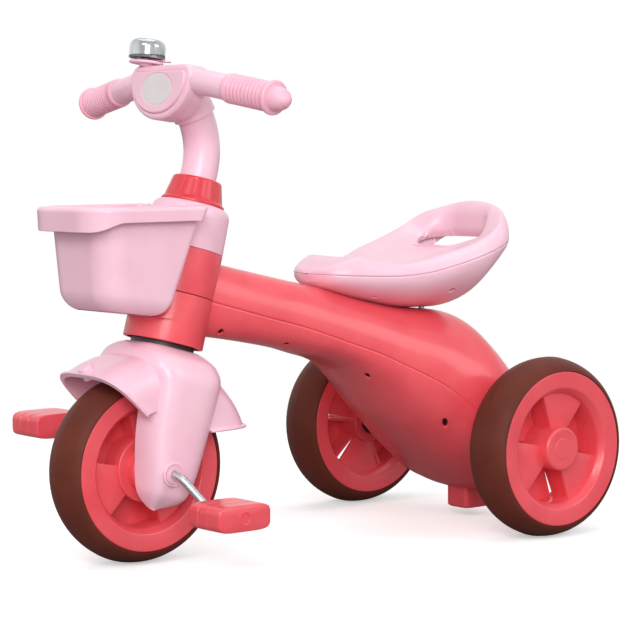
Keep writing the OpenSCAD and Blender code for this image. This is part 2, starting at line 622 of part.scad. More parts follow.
// Top of the saddle at share s and angle t across it, deep inside its skin
function seat_top_pt(s, t, deep) =
    let (w = seat_w / 2 * curve(seat_width_keys, s), wi = w - deep * min(1, w / 14),
        x = wi * sgn_pow(cos(t), 0.7), q = abs(x) / w,
        rise = curve(seat_crest_keys, s) - deep * min(1, w / 14),
        dish = curve(seat_dish_keys, s) * max(0, 1 - pow(q / 0.86, dish_pow)),
        edge = pow(max(0, 1 - pow(min(1, abs(x) / wi), curve(seat_edge_keys, s))), 0.5),
        up = (rise - dish) * edge)
    [x, seat_y(s) + (0.5 - s) * deep * 1.6 - tuck(s) * (1 - min(1, up / tuck_h)),
        seat_z + curve(seat_part_keys, s) + skin_gap / 2 + up];
function seat_floor_pt(s, t, deep) =
    let (w = seat_w / 2 * curve(seat_width_keys, s) - skin_gap, wi = w - deep * min(1, w / 14),
        p = curve(seat_part_keys, s) - skin_gap / 2, h = p - curve(seat_floor_keys, s) - deep * min(1, w / 14))
    [wi * sgn_pow(cos(t), 0.9 + 0.3 * s), seat_y(s) + (0.5 - s) * deep * 1.6 - tuck(s),
        seat_z + p - h * pow(abs(sin(t)), 0.9 + 0.3 * s)];

seat_rings = 26;
seat_sides = 18;
function seat_s(i) = (1 - cos(180 * i / seat_rings)) / 2;
function across(j) = max(0.001, 180 * j / seat_sides);
module seat_top_shell() skin([for (i = [seat_rings:-1:0])
    concat([for (j = [0:seat_sides]) seat_top_pt(seat_s(i), across(j), 0)],
        [for (j = [seat_sides:-1:0]) seat_top_pt(seat_s(i), across(j), wall)])], folded = true);
module seat_top_solid() skin([for (i = [seat_rings:-1:0])
    [for (j = [0:seat_sides]) seat_top_pt(seat_s(i), across(j), wall / 2)]]);
module seat_floor_shell() skin([for (i = [0:seat_rings])
    concat([for (j = [0:seat_sides]) seat_floor_pt(seat_s(i), -across(j), 0)],
        [for (j = [seat_sides:-1:0]) seat_floor_pt(seat_s(i), -across(j), wall)])], folded = true);
module seat_floor_solid() skin([for (i = [0:seat_rings])
    [for (j = [0:seat_sides]) seat_floor_pt(seat_s(i), -across(j), wall / 2)]]);

// Hand hole through the rear of the saddle: a slot with round ends
hole_r = 23;
hole_dx = 19;
hole_s = 0.8235;
module slot(r, h) {
    for (s = [-1, 1]) translate([s * hole_dx, 0, 0]) rod(r, h);
    translate([-hole_dx, -r, 0]) cube([2 * hole_dx, 2 * r, h]);
}
module at_hole() translate([0, seat_y(hole_s), seat_z]) children();

// Screw places of the saddle, [share of its length, share of the half width]
seat_screw_at = [[0.25, 0.58], [0.56, 0.78]];
module at_seat_screws() for (q = seat_screw_at, s = [-1, 1])
    translate([s * seat_w / 2 * curve(seat_width_keys, q[0]) * q[1], seat_y(q[0]),
        seat_z + curve(seat_part_keys, q[0])]) children();

module seat_top() color(PINK) difference() {
    union() {
        seat_top_shell();
        intersection() {
            seat_top_solid();
            union() {
                at_hole() slot(hole_r + wall, 160);
                at_seat_screws() rod(boss_r, 30);
            }
        }
    }
    at_hole() translate([0, 0, -1]) slot(hole_r, 170);
    at_seat_screws() translate([0, 0, -1]) rod(screw_r, 6);
}

module seat_bottom() color(PINK) difference() {
    union() {
        seat_floor_shell();
        intersection() {
            seat_floor_solid();
            union() {
                at_hole() translate([0, 0, -10]) slot(hole_r + wall, 160);
                at_seat_screws() translate([0, 0, -80]) rod(boss_r, 80);
            }
        }
    }
    at_hole() translate([0, 0, -11]) slot(hole_r, 170);
    at_seat_screws() { translate([0, 0, -81]) rod(screw_r, 82); translate([0, 0, -81]) rod(well_r0, 81 - screw_deep); }
    at_seat_bolts() translate([0, 0, -20]) rod(seat_bolt_r, 40);
    bolt_seats(1);
}

// Screws that hold the two halves of the saddle together, from below
module seat_screws() color(STEEL) at_seat_screws() {
    translate([0, 0, -screw_deep]) rod(screw_r, screw_deep + 4);
    translate([0, 0, -screw_deep - head_t]) rod(screw_head_r, head_t);
}

// Bolts with nuts that hold the saddle on the body
function bolt_top(u) = seat_z + curve(seat_floor_keys, (spine_y(u) - nose_y) / seat_l) + wall + skin_gap;
function bolt_low(u) = spine_z(u) + curve(top_keys, u) - wall - 6 * skin_gap;
// Level faces for the bolts' heads in the saddle (side 1) and for their nuts in the body (side -1)
module bolt_seats(side) for (u = seat_bolt_u) translate([0, spine_y(u), side > 0 ? bolt_top(u) : bolt_low(u) - 8])
    rod(seat_bolt_r + 3 + skin_gap, 8);
module seat_bolts() color(STEEL) for (u = seat_bolt_u) translate([0, spine_y(u), 0]) {
    translate([0, 0, bolt_low(u) - 6]) rod(seat_bolt_r, bolt_top(u) - bolt_low(u) + 7);
    translate([0, 0, bolt_top(u)]) rod(seat_bolt_r + 3, 3);
    translate([0, 0, bolt_low(u) - 4]) rod(seat_bolt_r + 3, 4);
}

// ---------- basket ----------

basket_z1 = axle_z + bracket_h1 * cos(rake) + 1;
basket_z0 = basket_z1 - basket_h;
band_h = 14;
basket_gap = 23;
basket_gap_low = 32;
wrap_r = head_r + 2.5;
function basket_share(z) = (z - basket_z0) / basket_h;
function basket_rear(z) = steering_y(z) - basket_gap_low - (basket_gap - basket_gap_low) * basket_share(z);
function basket_front(z) = basket_rear(basket_z1) - basket_l + 6 * (1 - basket_share(z));
// A level ring of the basket at height z, with rounded front corners and tighter rear ones.
// grow is its offset from the outside of the walls.
function basket_ring(z, grow, back = 0) =
    let (a = basket_w / 2 * (0.89 + 0.11 * basket_share(z)) + grow,
        y0 = basket_front(z) - grow * (grow > 0 ? 1.4 : 1), y1 = basket_rear(z) + back,
        rf = min(26 + grow, a - 2), rr = max(3, 7 + min(grow, back)))
    concat(arc(a - rr, y1 - rr, rr, rr, 0, 90, 4), arc(-a + rr, y1 - rr, rr, rr, 90, 180, 4),
        arc(-a + rf, y0 + rf, rf, rf, 180, 270, 9), arc(a - rf, y0 + rf, rf, rf, 270, 360, 9));
function lifted(ring, z) = [for (q = ring) [q[0], q[1], z]];
// The floor rises towards the front
floor_rise = 15;
function sloped(ring, z) = [for (q = ring) [q[0], q[1],
    z + floor_rise * (basket_rear(basket_z0) - q[1]) / basket_l]];
// Rings of the cup between its floor and its mouth; w is the wall taken off
function cup_rings(w, top) = [for (k = [[0, 17], [2, 9.5], [6, 4], [12, 1], [18, 0]])
        let (z = basket_z0 + k[0] + w) sloped(basket_ring(z, -k[1] - w, -k[1] * 0.8 - w), z),
    lifted(basket_ring(top, -w, -w), top)];
module cup(w, top) skin(cup_rings(w, top));
// Rim with a lip turned down all round and further down at the front
droop = 8.5;
module rim_block(g, top) skin([for (k = [[basket_z1 - band_h - droop, 0], [top - 2.5, 0], [top, 2]])
    lifted(basket_ring(k[0], g - k[1], g - rim_over - k[1]), k[0])]);
// Side view of the rim: its lower edge drops in a smooth step towards the front
drop_y0 = 19;
drop_y1 = -9;
module rim_side() translate([-100, 0, 0]) rotate([90, 0, 90]) linear_extrude(200)
    let (y0 = basket_front(basket_z1), z0 = basket_z1 - band_h - droop, z1 = basket_z1 - band_h)
        polygon(concat([[y0 - 30, z0]], [for (i = [0:10]) let (q = i / 10)
            [y0 + drop_y1 + (drop_y0 - drop_y1) * q, z0 + (z1 - z0) * (3 * q^2 - 2 * q^3)]],
            [[y0 + 180, z1], [y0 + 180, basket_z1 + 5], [y0 - 30, basket_z1 + 5]]));
module wrap(r) on_steering() translate([0, 0, head_h0 - 30]) rod(r, 240);

module basket() color(PINK) difference() {
    union() {
        cup(0, basket_z1 - 1);
        difference() {
            intersection() { rim_block(rim_over, basket_z1); rim_side(); }
            rim_block(rim_over - basket_wall, basket_z1 - basket_wall);
        }
    }
    difference() { cup(basket_wall, basket_z1 + 5); wrap(wrap_r + basket_wall); }
    wrap(wrap_r);
    at_basket_screws() translate([0, 0, -10]) rod(screw_r, 40);
}

// Bracket on the steerer that carries the basket: it turns with the handlebar
pad_w = 36;
pad_h = head_h1 + 12;
pad_l = 22;
basket_screw_h = head_h1 + 23;
module basket_bracket() color(PINK) on_steering() difference() {
    union() {
        translate([0, 0, head_h1 + skin_gap]) rotate_extrude() polygon([
            [steerer_r, 0], [head_r, 0], [head_r - 1, bracket_h1 - head_h1 - 8],
            [head_r - 3, bracket_h1 - head_h1 - 3], [head_r - 7, bracket_h1 - head_h1 - skin_gap],
            [steerer_r, bracket_h1 - head_h1 - skin_gap]]);
        intersection() {
            translate([0, 0, pad_h]) rod(wrap_r - skin_gap, pad_l);
            translate([-pad_w / 2, -wrap_r - 5, head_h1]) cube([pad_w, wrap_r, 60]);
        }
    }
    translate([0, 0, head_h1 - 1]) rod(steerer_r, 60);
    translate([0, 0, head_h1 - 1]) ring(head_r - 5, steerer_r + 4, bracket_h1 - head_h1 - 6);
    for (s = [-1, 1]) translate([s * pad_w / 4, 0, basket_screw_h]) rotate([90, 0, 0]) rod(screw_r, 60);
}
module at_basket_screws() on_steering() for (s = [-1, 1])
    translate([s * pad_w / 4, -wrap_r, basket_screw_h]) rotate([90, 0, 0]) children();
module basket_screws() color(STEEL) at_basket_screws() {
    translate([0, 0, -4]) rod(screw_r, 6 + basket_wall);
    translate([0, 0, basket_wall + 0.1]) rod(screw_r + 2, 2);
}

// ---------- stem and handlebar ----------

collar_l = collar_h1 - bracket_h1;
module lock_collar() color(CORAL) on_steering() translate([0, 0, bracket_h1]) rotate_extrude() polygon([
    [stem_r, 0], [stem_r + 13, 0], [stem_r + 13, 2.5], [stem_r + 10.8, 4], [stem_r + 6.2, collar_l - 1.5],
    [stem_r + 4.8, collar_l], [stem_r, collar_l]]);

// The stem stands on the bracket, runs up the steering axis and bends forward
stem_h0 = collar_h1 + 9;
stem_lean = 50;
stem_turn = rake + stem_lean;
stem_end_y = front_y + stem_h0 * sin(rake) - stem_bend_r * cos(rake) + stem_bend_r * cos(stem_lean);
stem_end_z = axle_z + stem_h0 * cos(rake) + stem_bend_r * (sin(rake) + sin(stem_lean));
module stem() color(PINK) on_steering() {
    translate([0, 0, bracket_h1]) ring(stem_r, steerer_r, stem_h0 - bracket_h1);
    translate([0, -stem_bend_r, stem_h0]) rotate([0, 90, 0]) rotate([0, 0, 90]) rotate_extrude(angle = stem_turn)
        translate([stem_bend_r, 0]) difference() { circle(stem_r); circle(steerer_r); }
}

// Console: a rounded casing in a front and a back half that clamps the stem and both bars
console_tilt = 7.4;
console_front_d = 13;
console_back_d = 13;
boss_back_d = 23;
console_top = 12.5;
console_low = 39.5;
console_wall = 3;
console_corner = 12;
bar_x0 = 30;
module on_console() translate([0, stem_end_y - 11, stem_end_z + 9.5]) rotate([-console_tilt, 0, 0]) children();
// Outline of the casing seen from the front, drawn in by grow
function console_pts(grow) =
    let (w = console_w / 2 - grow, top = console_top - grow, low = console_low - grow,
        c = console_corner - grow)
    concat(arc(w - c, top - c, c, c, 0, 90, 6), arc(-w + c, top - c, c, c, 90, 180, 6),
        arc(0, top - c, w, low + top - c, 180, 360, 28));
// A slab of the casing between two depths, front to back
module console_slab(grow, y0, y1) translate([0, y1, 0]) rotate([90, 0, 0]) linear_extrude(y1 - y0)
    polygon(console_pts(grow));

module on_bar(side) on_console() mirrored(side) translate([bar_x0, 0, 0])
    rotate([0, bar_drop, bar_sweep]) rotate([0, 90, 0]) children();
// Blocks that hold the ends of the bars
block_x0 = 31;
block_x1 = 45;
module bar_blocks(y0, y1) intersection() {
    console_slab(1, y0, y1);
    for (s = [-1, 1]) mirrored(s) translate([block_x0, -30, -18]) cube([block_x1 - block_x0, 60, 40]);
}

module console_front() color(PINK) difference() {
    union() {
    on_console() difference() {
        union() {
            console_slab(0, -console_front_d + 2.5, 0);
            console_slab(6, -console_front_d, -console_front_d + 3);
        }
        console_slab(console_wall, -console_front_d + 2.5 + console_wall, 1);
    }
    on_console() bar_blocks(-console_front_d + 3, 0);
    }
    for (s = [-1, 1]) on_bar(s) rod(bar_r, 60);
    on_bell() translate([0, 0, -post_in]) rod(post_r, post_in + 1);
    on_console() for (s = [-1, 1]) translate([s * console_screw_x, 1, console_screw_z])
        rotate([90, 0, 0]) rod(screw_r, 8);
}

module console_back() color(PINK) difference() {
    union() {
        on_console() difference() {
            console_slab(0, skin_gap / 3, console_back_d);
            console_slab(console_wall, -1, console_back_d - console_wall);
        }
        on_console() bar_blocks(skin_gap / 3, console_back_d - 1);
        intersection() {
            on_console() console_slab(console_wall / 2, skin_gap / 3, boss_back_d);
            stem_path() circle(stem_r + 3);
        }
    }
    stem_path() circle(stem_r);
    for (s = [-1, 1]) on_bar(s) rod(bar_r, 60);
    on_console() for (s = [-1, 1]) translate([s * console_screw_x, console_back_d + 1, console_screw_z])
        rotate([90, 0, 0]) rod(screw_r, 30);
}
// Sweeps a profile along the bend of the stem
module stem_path() on_steering() translate([0, -stem_bend_r, stem_h0]) rotate([0, 90, 0]) rotate([0, 0, 90])
    rotate_extrude(angle = stem_turn + 6) translate([stem_bend_r, 0]) children();

bar_l = (bar_span / 2 - bar_x0) / cos(bar_drop) / cos(bar_sweep);
knob_l = 18;
flange_t = 4;
tube_l = bar_l - knob_l - flange_t - 2;
module bar_tube(side) color(PINK) on_bar(side) ring(bar_r, bar_r - 2.5, tube_l);
module left_bar_tube() bar_tube(1);
module right_bar_tube() bar_tube(-1);

// Grip: a soft sleeve with round ribs, an end flange and a rounded knob
grip_ribs = 10;
grip_h0 = bar_l - knob_l - grip_l;
rib_pitch = (grip_l - flange_t - 8) / grip_ribs;
module grip(side) color(PINK) on_bar(side) rotate_extrude() polygon(concat(
    [[bar_r, grip_h0], [grip_r - 1.2, grip_h0], [grip_r, grip_h0 + 1.5], [grip_r, grip_h0 + 6]],
    [for (i = [0:grip_ribs - 1], k = [0:3]) [grip_r - (k == 1 || k == 2 ? 0 : 1),
        grip_h0 + 7 + rib_pitch * (i + [0, 0.2, 0.6, 0.8][k])]],
    [[grip_r - 1, bar_l - knob_l - flange_t], [grip_r + 2, bar_l - knob_l - flange_t],
        [grip_r + 2, bar_l - knob_l - 1], [grip_r + 1, bar_l - knob_l]],
    arc(0, bar_l - knob_l, grip_r - 2.5, knob_l, 0, 90, 10),
    [[0, bar_l - knob_l - flange_t - 2], [bar_r, bar_l - knob_l - flange_t - 2]]));
module left_grip() grip(1);
module right_grip() grip(-1);

// Screws of the console, from behind
console_screw_x = 36;
console_screw_z = -15.5;
module console_screws() color(STEEL) on_console() for (s = [-1, 1])
    translate([s * console_screw_x, console_back_d, console_screw_z]) rotate([90, 0, 0]) {
        rod(screw_r, console_back_d + 6);
        translate([0, 0, -1.6]) rod(screw_head_r, 1.6);
    }

// ---------- bell ----------

bell_x = -34;
bell_y = -4;
bell_r = bell_d / 2;
bell_h = 19;
bell_stand = 2.5;
disc_t = 2.5;
lever_z = bell_stand + disc_t + 0.9;
lever_t = 1.4;
dome_z = lever_z + lever_t + 0.3;
post_r = 2.5;
post_in = 1;
module on_bell() on_console() translate([bell_x, bell_y, console_top]) children();
module bell_base() color(PINK) on_bell() difference() {
    union() {
        rod(7, bell_stand);
        translate([0, 0, bell_stand]) rod(bell_r - 1, disc_t);
        translate([0, 0, bell_stand + disc_t - 0.1]) rod(5, lever_z - bell_stand - disc_t);
    }
    translate([0, 0, -1]) rod(post_r, 12);
}
module bell_dome() color(STEEL) on_bell() translate([0, 0, dome_z]) rotate_extrude() polygon(concat(
    [[bell_r - 1.4, 0], [bell_r, 0], [bell_r, bell_h - 9]],
    arc(bell_r - 8, bell_h - 8, 8, 8, 10, 80, 6), [[0, bell_h + 0.4], [0, bell_h - 1.4]],
    arc(bell_r - 8, bell_h - 8, 6.6, 6.6, 90, 0, 6)));
// Post through the base, the lever and up to the dome
module bell_post() color(STEEL) on_bell() translate([0, 0, -post_in])
    rod(post_r, post_in + dome_z + bell_h - 1.4);
lever_l = 23;
lever_w = 7;
lever_turn = 52;
module bell_lever() color(PINK) on_bell() translate([0, 0, lever_z]) difference() {
    union() {
        rod(5, lever_t);
        rotate([0, 0, lever_turn]) translate([0, -lever_w / 2, 0]) cube([lever_l - 3, lever_w, lever_t]);
        rotate([0, 0, lever_turn]) translate([lever_l - 4, 0, 0]) rod(lever_w / 2 + 1, lever_t);
    }
    translate([0, 0, -1]) rod(post_r + run_fit, 5);
}

front_tyre();
front_rim();
crank_axle();
left_crank_bush();
right_crank_bush();
left_pedal();
right_pedal();
left_pedal_nut();
right_pedal_nut();
left_rear_tyre();
left_rear_rim();
left_hub_cap();
right_rear_tyre();
right_rear_rim();
right_hub_cap();
rear_axle();
axle_nuts();
axle_washers();
fork();
fork_ring();
steerer_tube();
lower_head_bush();
upper_head_bush();
body_upper();
body_lower();
body_screws();
seat_top();
seat_bottom();
seat_screws();
seat_bolts();
basket_bracket();
basket();
basket_screws();
lock_collar();
stem();
console_front();
console_back();
console_screws();
left_bar_tube();
right_bar_tube();
left_grip();
right_grip();
bell_base();
bell_dome();
bell_post();
bell_lever();
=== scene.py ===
# %% [markdown]
# A children's tricycle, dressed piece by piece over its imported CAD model.
# The CAD model fixes every place and size. Here the moulded pieces get their
# soft edges, seams and finishes. Lengths are worked out in millimetres, because
# that is how such parts are drawn, and are turned to metres when a mesh is made.

# %% Load the frame
import math

import bmesh
import bpy
import numpy as np
from mathutils import Matrix, Vector


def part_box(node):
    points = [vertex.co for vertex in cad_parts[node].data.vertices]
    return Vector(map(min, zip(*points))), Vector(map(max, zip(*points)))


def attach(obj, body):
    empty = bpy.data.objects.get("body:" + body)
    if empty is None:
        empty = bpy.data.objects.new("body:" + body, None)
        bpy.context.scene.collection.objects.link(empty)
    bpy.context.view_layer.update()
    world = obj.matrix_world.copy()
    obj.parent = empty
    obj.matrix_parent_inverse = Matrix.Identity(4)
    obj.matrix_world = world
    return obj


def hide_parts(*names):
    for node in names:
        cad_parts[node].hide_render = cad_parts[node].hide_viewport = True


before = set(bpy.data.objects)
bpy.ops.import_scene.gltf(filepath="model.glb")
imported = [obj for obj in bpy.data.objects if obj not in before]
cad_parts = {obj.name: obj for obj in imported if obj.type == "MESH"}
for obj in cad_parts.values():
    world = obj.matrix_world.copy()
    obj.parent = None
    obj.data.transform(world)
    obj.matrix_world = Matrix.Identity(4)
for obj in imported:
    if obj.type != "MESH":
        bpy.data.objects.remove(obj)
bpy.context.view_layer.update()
MM = 0.001

# %% [markdown]
# The main lengths of the tricycle. The axles, the wheel size, the tyre width
# and the track are read off the tyres' boxes, so they always agree with the
# model; the tube sizes and the rest are the drawing's own values for the moulded shapes.

# %% Main lengths
def span(name):
    """Lowest and highest corner of a CAD node, in millimetres."""
    low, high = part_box(name)
    return np.array(low) / MM, np.array(high) / MM


tyre_low, tyre_high = span("front_tyre")
WHEEL_R = (tyre_high[2] - tyre_low[2]) / 2
TYRE_W = tyre_high[0] - tyre_low[0]
FRONT_Y = (tyre_high[1] + tyre_low[1]) / 2
AXLE_Z = (tyre_high[2] + tyre_low[2]) / 2
rear_low, rear_high = span("left_rear_tyre")
REAR_Y = (rear_high[1] + rear_low[1]) / 2
TRACK_X = (rear_high[0] + rear_low[0]) / 2
RAKE = 15.5
ROD_R = 4.0
STEM_R = 17.5
STEERER_R = 15.0
HEAD_R = 38.5
CROWN_H = WHEEL_R + 26
HEAD_H0 = CROWN_H + 4.4
HEAD_H1 = HEAD_H0 + 91.5
PART_H = HEAD_H0 + 48
BRACKET_H1 = HEAD_H1 + 43.5
COLLAR_H1 = BRACKET_H1 + 25
WALL = 3.0
SKIN_GAP = 0.3
print("front axle at", round(FRONT_Y, 1), "rear axle at", round(REAR_Y, 1), "wheel radius", round(WHEEL_R, 2))

# %% [markdown]
# Small geometry helpers. A shape is always a grid of points worked out as one
# numpy array: one direction runs along the piece, the other round it. The grid
# is then put into a mesh in one go. Closed ends are filled, so every piece is a
# shut skin with its faces pointing out.

# %% Grid and mesh helpers
def sin(degrees):
    return np.sin(np.radians(degrees))


def cos(degrees):
    return np.cos(np.radians(degrees))


def signed_pow(v, p):
    """The size of v raised to p, with the sign of v kept: the rule of a superellipse."""
    return np.sign(v) * np.abs(v) ** p


def smooth_step(x):
    """0 below 0, 1 above 1, and the cubic 3x^2 - 2x^3 between."""
    x = np.clip(x, 0, 1)
    return x * x * (3 - 2 * x)


def key_curve(keys, t):
    """Smooth curve through (place, value) keys: cubic Hermite stretches whose
    slope at a key is the slope between its two neighbours."""
    k = np.array(keys, float)
    t = np.asarray(t, float)
    n = len(k)
    before, after = np.maximum(np.arange(n) - 1, 0), np.minimum(np.arange(n) + 1, n - 1)
    slope = (k[after, 1] - k[before, 1]) / (k[after, 0] - k[before, 0])
    i = np.clip(np.searchsorted(k[:, 0], t, side="right") - 1, 0, n - 2)
    d = k[i + 1, 0] - k[i, 0]
    s = (t - k[i, 0]) / d
    return ((2 * s**3 - 3 * s**2 + 1) * k[i, 1] + (s**3 - 2 * s**2 + s) * d * slope[i]
            + (3 * s**2 - 2 * s**3) * k[i + 1, 1] + (s**3 - s**2) * d * slope[i + 1])


def stacked(*parts):
    """Arrays or numbers side by side along a new last axis, spread to one shape."""
    return np.stack(np.broadcast_arrays(*parts), -1)


def arc(cx, cy, rx, ry, t):
    """Points on an ellipse at angles t: cx + rx cos t and cy + ry sin t."""
    return stacked(cx + rx * cos(t), cy + ry * sin(t))


def turn(points, axis, degrees):
    """Rotates points about the x (0), y (1) or z (2) axis, right-handed."""
    a, b = [(1, 2), (2, 0), (0, 1)][axis]
    out = np.array(points, float)
    pa, pb = out[..., a].copy(), out[..., b].copy()
    out[..., a] = pa * cos(degrees) - pb * sin(degrees)
    out[..., b] = pa * sin(degrees) + pb * cos(degrees)
    return out


def flip_x(points):
    return points * np.array([-1.0, 1.0, 1.0])


def grid_faces(rows, cols, wrap_rows=False, wrap_cols=True):
    """Quads between neighbouring rows and columns of a grid of points."""
    i = np.arange(rows if wrap_rows else rows - 1)[:, None]
    j = np.arange(cols if wrap_cols else cols - 1)[None, :]
    a = i * cols + j
    b = i * cols + (j + 1) % cols
    c = ((i + 1) % rows) * cols + (j + 1) % cols
    d = ((i + 1) % rows) * cols + j
    return stacked(a, b, c, d).reshape(-1, 4)


def listed(*groups):
    """Arrays of faces as one plain list of lists of point numbers."""
    return [list(face) for group in groups for face in group]


def tube_skin(rings):
    """A closed skin over rings of points, shaped (rows, around, 3). Each end is
    closed by a fan to the middle of its ring."""
    rings = np.asarray(rings, float)
    rows, around = rings.shape[:2]
    verts = np.vstack([rings.reshape(-1, 3), rings[0].mean(0), rings[-1].mean(0)])
    j = np.arange(around)
    k = (j + 1) % around
    last = (rows - 1) * around
    first_fan = stacked(k, j, rows * around)
    last_fan = stacked(last + j, last + k, rows * around + 1)
    return verts, listed(grid_faces(rows, around), first_fan, last_fan)


def ring_skin(rings):
    """A closed skin over rings that come back to the first one, as on a tyre."""
    rings = np.asarray(rings, float)
    return rings.reshape(-1, 3), listed(grid_faces(*rings.shape[:2], wrap_rows=True))


def folded_skin(outer, inner):
    """A shell whose rings run along the outer skin and back along the inner one;
    both end rings are closed by strips."""
    rings = np.concatenate([outer, inner[:, ::-1]], 1)
    rows, around = rings.shape[:2]
    j = np.arange(around // 2 - 1)
    strip = stacked(j, j + 1, around - 2 - j, around - 1 - j)
    return rings.reshape(-1, 3), listed(grid_faces(rows, around), strip[:, ::-1], strip + (rows - 1) * around)


def joined(*parts):
    """Several skins as one list of points and faces."""
    verts, faces, n = [], [], 0
    for v, f in parts:
        verts.append(np.asarray(v, float))
        faces += [[i + n for i in face] for face in f]
        n += len(v)
    return np.vstack(verts), faces


def placed(skin, *steps):
    """The skin with each placing step applied to its points in turn."""
    verts, faces = skin
    for step in steps:
        verts = step(verts)
    return verts, faces


def lathe(profile, around=96):
    """Turns a closed profile of (radius, height) points about the local z axis:
    x = r cos a, y = r sin a, z = h."""
    p = np.asarray(profile, float)
    a = np.linspace(0, 360, around, endpoint=False)
    x, y = p[:, :1] * cos(a), p[:, :1] * sin(a)
    return ring_skin(stacked(x, y, p[:, 1:2]))


def rounded(points, radius, steps=5, closed=True):
    """Rounds each corner of a line of points. radius is one value or one for
    each corner. A corner is replaced by a quadratic arc between two points that
    lie the radius away from it, or at most 0.45 of the side's length."""
    p = np.asarray(points, float)
    n = len(p)
    r = np.broadcast_to(np.asarray(radius, float), (n,))
    before, after = p[np.arange(n) - 1], p[(np.arange(n) + 1) % n]

    def reach(q):
        side = q - p
        length = np.maximum(np.linalg.norm(side, axis=1), 1e-9)
        return p + side * (np.minimum(r, 0.45 * length) / length)[:, None]

    a, b = reach(before), reach(after)
    t = np.linspace(0, 1, steps)[None, :, None]
    arcs = (1 - t) ** 2 * a[:, None] + 2 * t * (1 - t) * p[:, None] + t**2 * b[:, None]
    out = arcs.reshape(-1, p.shape[1])
    if not closed:
        out = np.vstack([p[:1], out[steps:-steps], p[-1:]])
    return out


def lathe_rounded(points, radius, steps, around):
    """A turned part whose profile is a closed line with rounded corners."""
    return lathe(rounded(points, radius, steps), around)


def pipe(path, radius, around=32):
    """A round bar along a path. Each ring is square to the path there: one of its
    axes is the cross product of the path's direction with a slanting direction,
    along which no path here runs."""
    path = np.asarray(path, float)
    along = np.gradient(path, axis=0)
    along /= np.linalg.norm(along, axis=1)[:, None]
    side = np.cross(along, np.array([0.31, 0.17, 0.93]))
    side /= np.linalg.norm(side, axis=1)[:, None]
    up = np.cross(along, side)
    a = np.linspace(0, 360, around, endpoint=False)
    ring = side[:, None] * cos(a)[None, :, None] + up[:, None] * sin(a)[None, :, None]
    return tube_skin(path[:, None] + radius * ring)


def tidy(mesh, merge):
    """Merges doubles within merge millimetres and points all faces outwards."""
    bm = bmesh.new()
    bm.from_mesh(mesh)
    bmesh.ops.remove_doubles(bm, verts=bm.verts, dist=max(merge, 1e-4) * MM)
    bmesh.ops.recalc_face_normals(bm, faces=bm.faces)
    bm.to_mesh(mesh)
    bm.free()


def add_piece(name, skin, material, body, replaces=(), angle=40, merge=0.0):
    """Puts a skin into a mesh object in metres, merges its doubles, turns its
    faces outwards, shades it smooth below the given angle, hangs it under its
    body's empty and hides the CAD nodes it replaces."""
    verts, faces = skin
    mesh = bpy.data.meshes.new(name)
    mesh.from_pydata((np.asarray(verts) * MM).tolist(), [], faces)
    mesh.validate()
    piece = bpy.data.objects.new(name, mesh)
    bpy.context.scene.collection.objects.link(piece)
    tidy(mesh, merge)
    mesh.materials.append(material)
    mesh.shade_smooth()
    mesh.set_sharp_from_angle(angle=math.radians(angle))
    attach(piece, body)
    if replaces:
        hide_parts(*replaces)
    print(f"{name}: {len(mesh.vertices)} points, {len(mesh.polygons)} faces")


# %% [markdown]
# Places. Every moving group has its own local frame, as it has in the drawing:
# the steering axis leans back, the console is tilted on the stem, and each bar
# sweeps back and drops. A placing function takes local points to the tricycle.

# %% Placing functions
def on_steering(p):
    """From the leaning steering axis, whose origin is the front axle."""
    return turn(p, 0, -RAKE) + np.array([0, FRONT_Y, AXLE_Z])


def along_x(p):
    """A part turned about z is laid so that its z runs along +x."""
    return stacked(p[..., 2], p[..., 1], -p[..., 0])


def moved(*shift):
    return lambda p: p + np.array(shift, float)


def turned(axis, degrees):
    return lambda p: turn(p, axis, degrees)


def stretched(*factors):
    return lambda p: p * np.array(factors, float)


def at_rear(side):
    return lambda p: p * np.array([side, 1, 1]) + np.array([side * TRACK_X, REAR_Y, AXLE_Z])


STEM_BEND_R = 74.0
STEM_H0 = COLLAR_H1 + 9
STEM_LEAN = 50
STEM_END_Y = FRONT_Y + STEM_H0 * sin(RAKE) - STEM_BEND_R * cos(RAKE) + STEM_BEND_R * cos(STEM_LEAN)
STEM_END_Z = AXLE_Z + STEM_H0 * cos(RAKE) + STEM_BEND_R * (sin(RAKE) + sin(STEM_LEAN))
CONSOLE_TILT = 7.4
CONSOLE_TOP = 12.5
BAR_X0 = 30.0
BAR_SWEEP, BAR_DROP = 6.8, 8.8


def on_console(p):
    return turn(p, 0, -CONSOLE_TILT) + np.array([0, STEM_END_Y - 11, STEM_END_Z + 9.5])


def on_bar(side):
    """From a bar's own axis, z outwards along it, to the tricycle."""
    def place(p):
        q = turn(turn(along_x(p), 1, BAR_DROP), 2, BAR_SWEEP) + np.array([BAR_X0, 0, 0])
        return on_console(q * np.array([side, 1, 1]))
    return place


def on_bell(p):
    return on_console(p + np.array([-34, -4, CONSOLE_TOP]))


print("console centre:", np.round(on_console(np.zeros(3)), 2))

# %% [markdown]
# Finishes. All the big parts are injection-moulded polypropylene: a satin skin
# with soft highlights, a faint ripple where the wall cooled, and a very fine
# grain from the mould. Colours are written as sRGB hex and turned to linear by
# one function. Patterns read Object coordinates, whose unit is the metre, so a
# pattern's scale is 1000 divided by its size in millimetres.

# %% Colour and node helpers
def linear(hex_colour):
    """sRGB hex to linear RGBA: c/12.92 below 0.04045, else ((c+0.055)/1.055)^2.4."""
    c = np.array([int(hex_colour[i:i + 2], 16) for i in (1, 3, 5)]) / 255
    c = np.where(c <= 0.04045, c / 12.92, ((c + 0.055) / 1.055) ** 2.4)
    return (*c.tolist(), 1.0)


def add_node(tree, kind, inputs=None, **settings):
    """Adds a node, sets its settings, and fills its inputs with values or links."""
    made = tree.nodes.new(kind)
    for key, value in settings.items():
        setattr(made, key, value)
    for key, value in (inputs or {}).items():
        socket = made.inputs[key]
        if isinstance(value, bpy.types.NodeSocket):
            tree.links.new(value, socket)
        else:
            socket.default_value = value
    return made


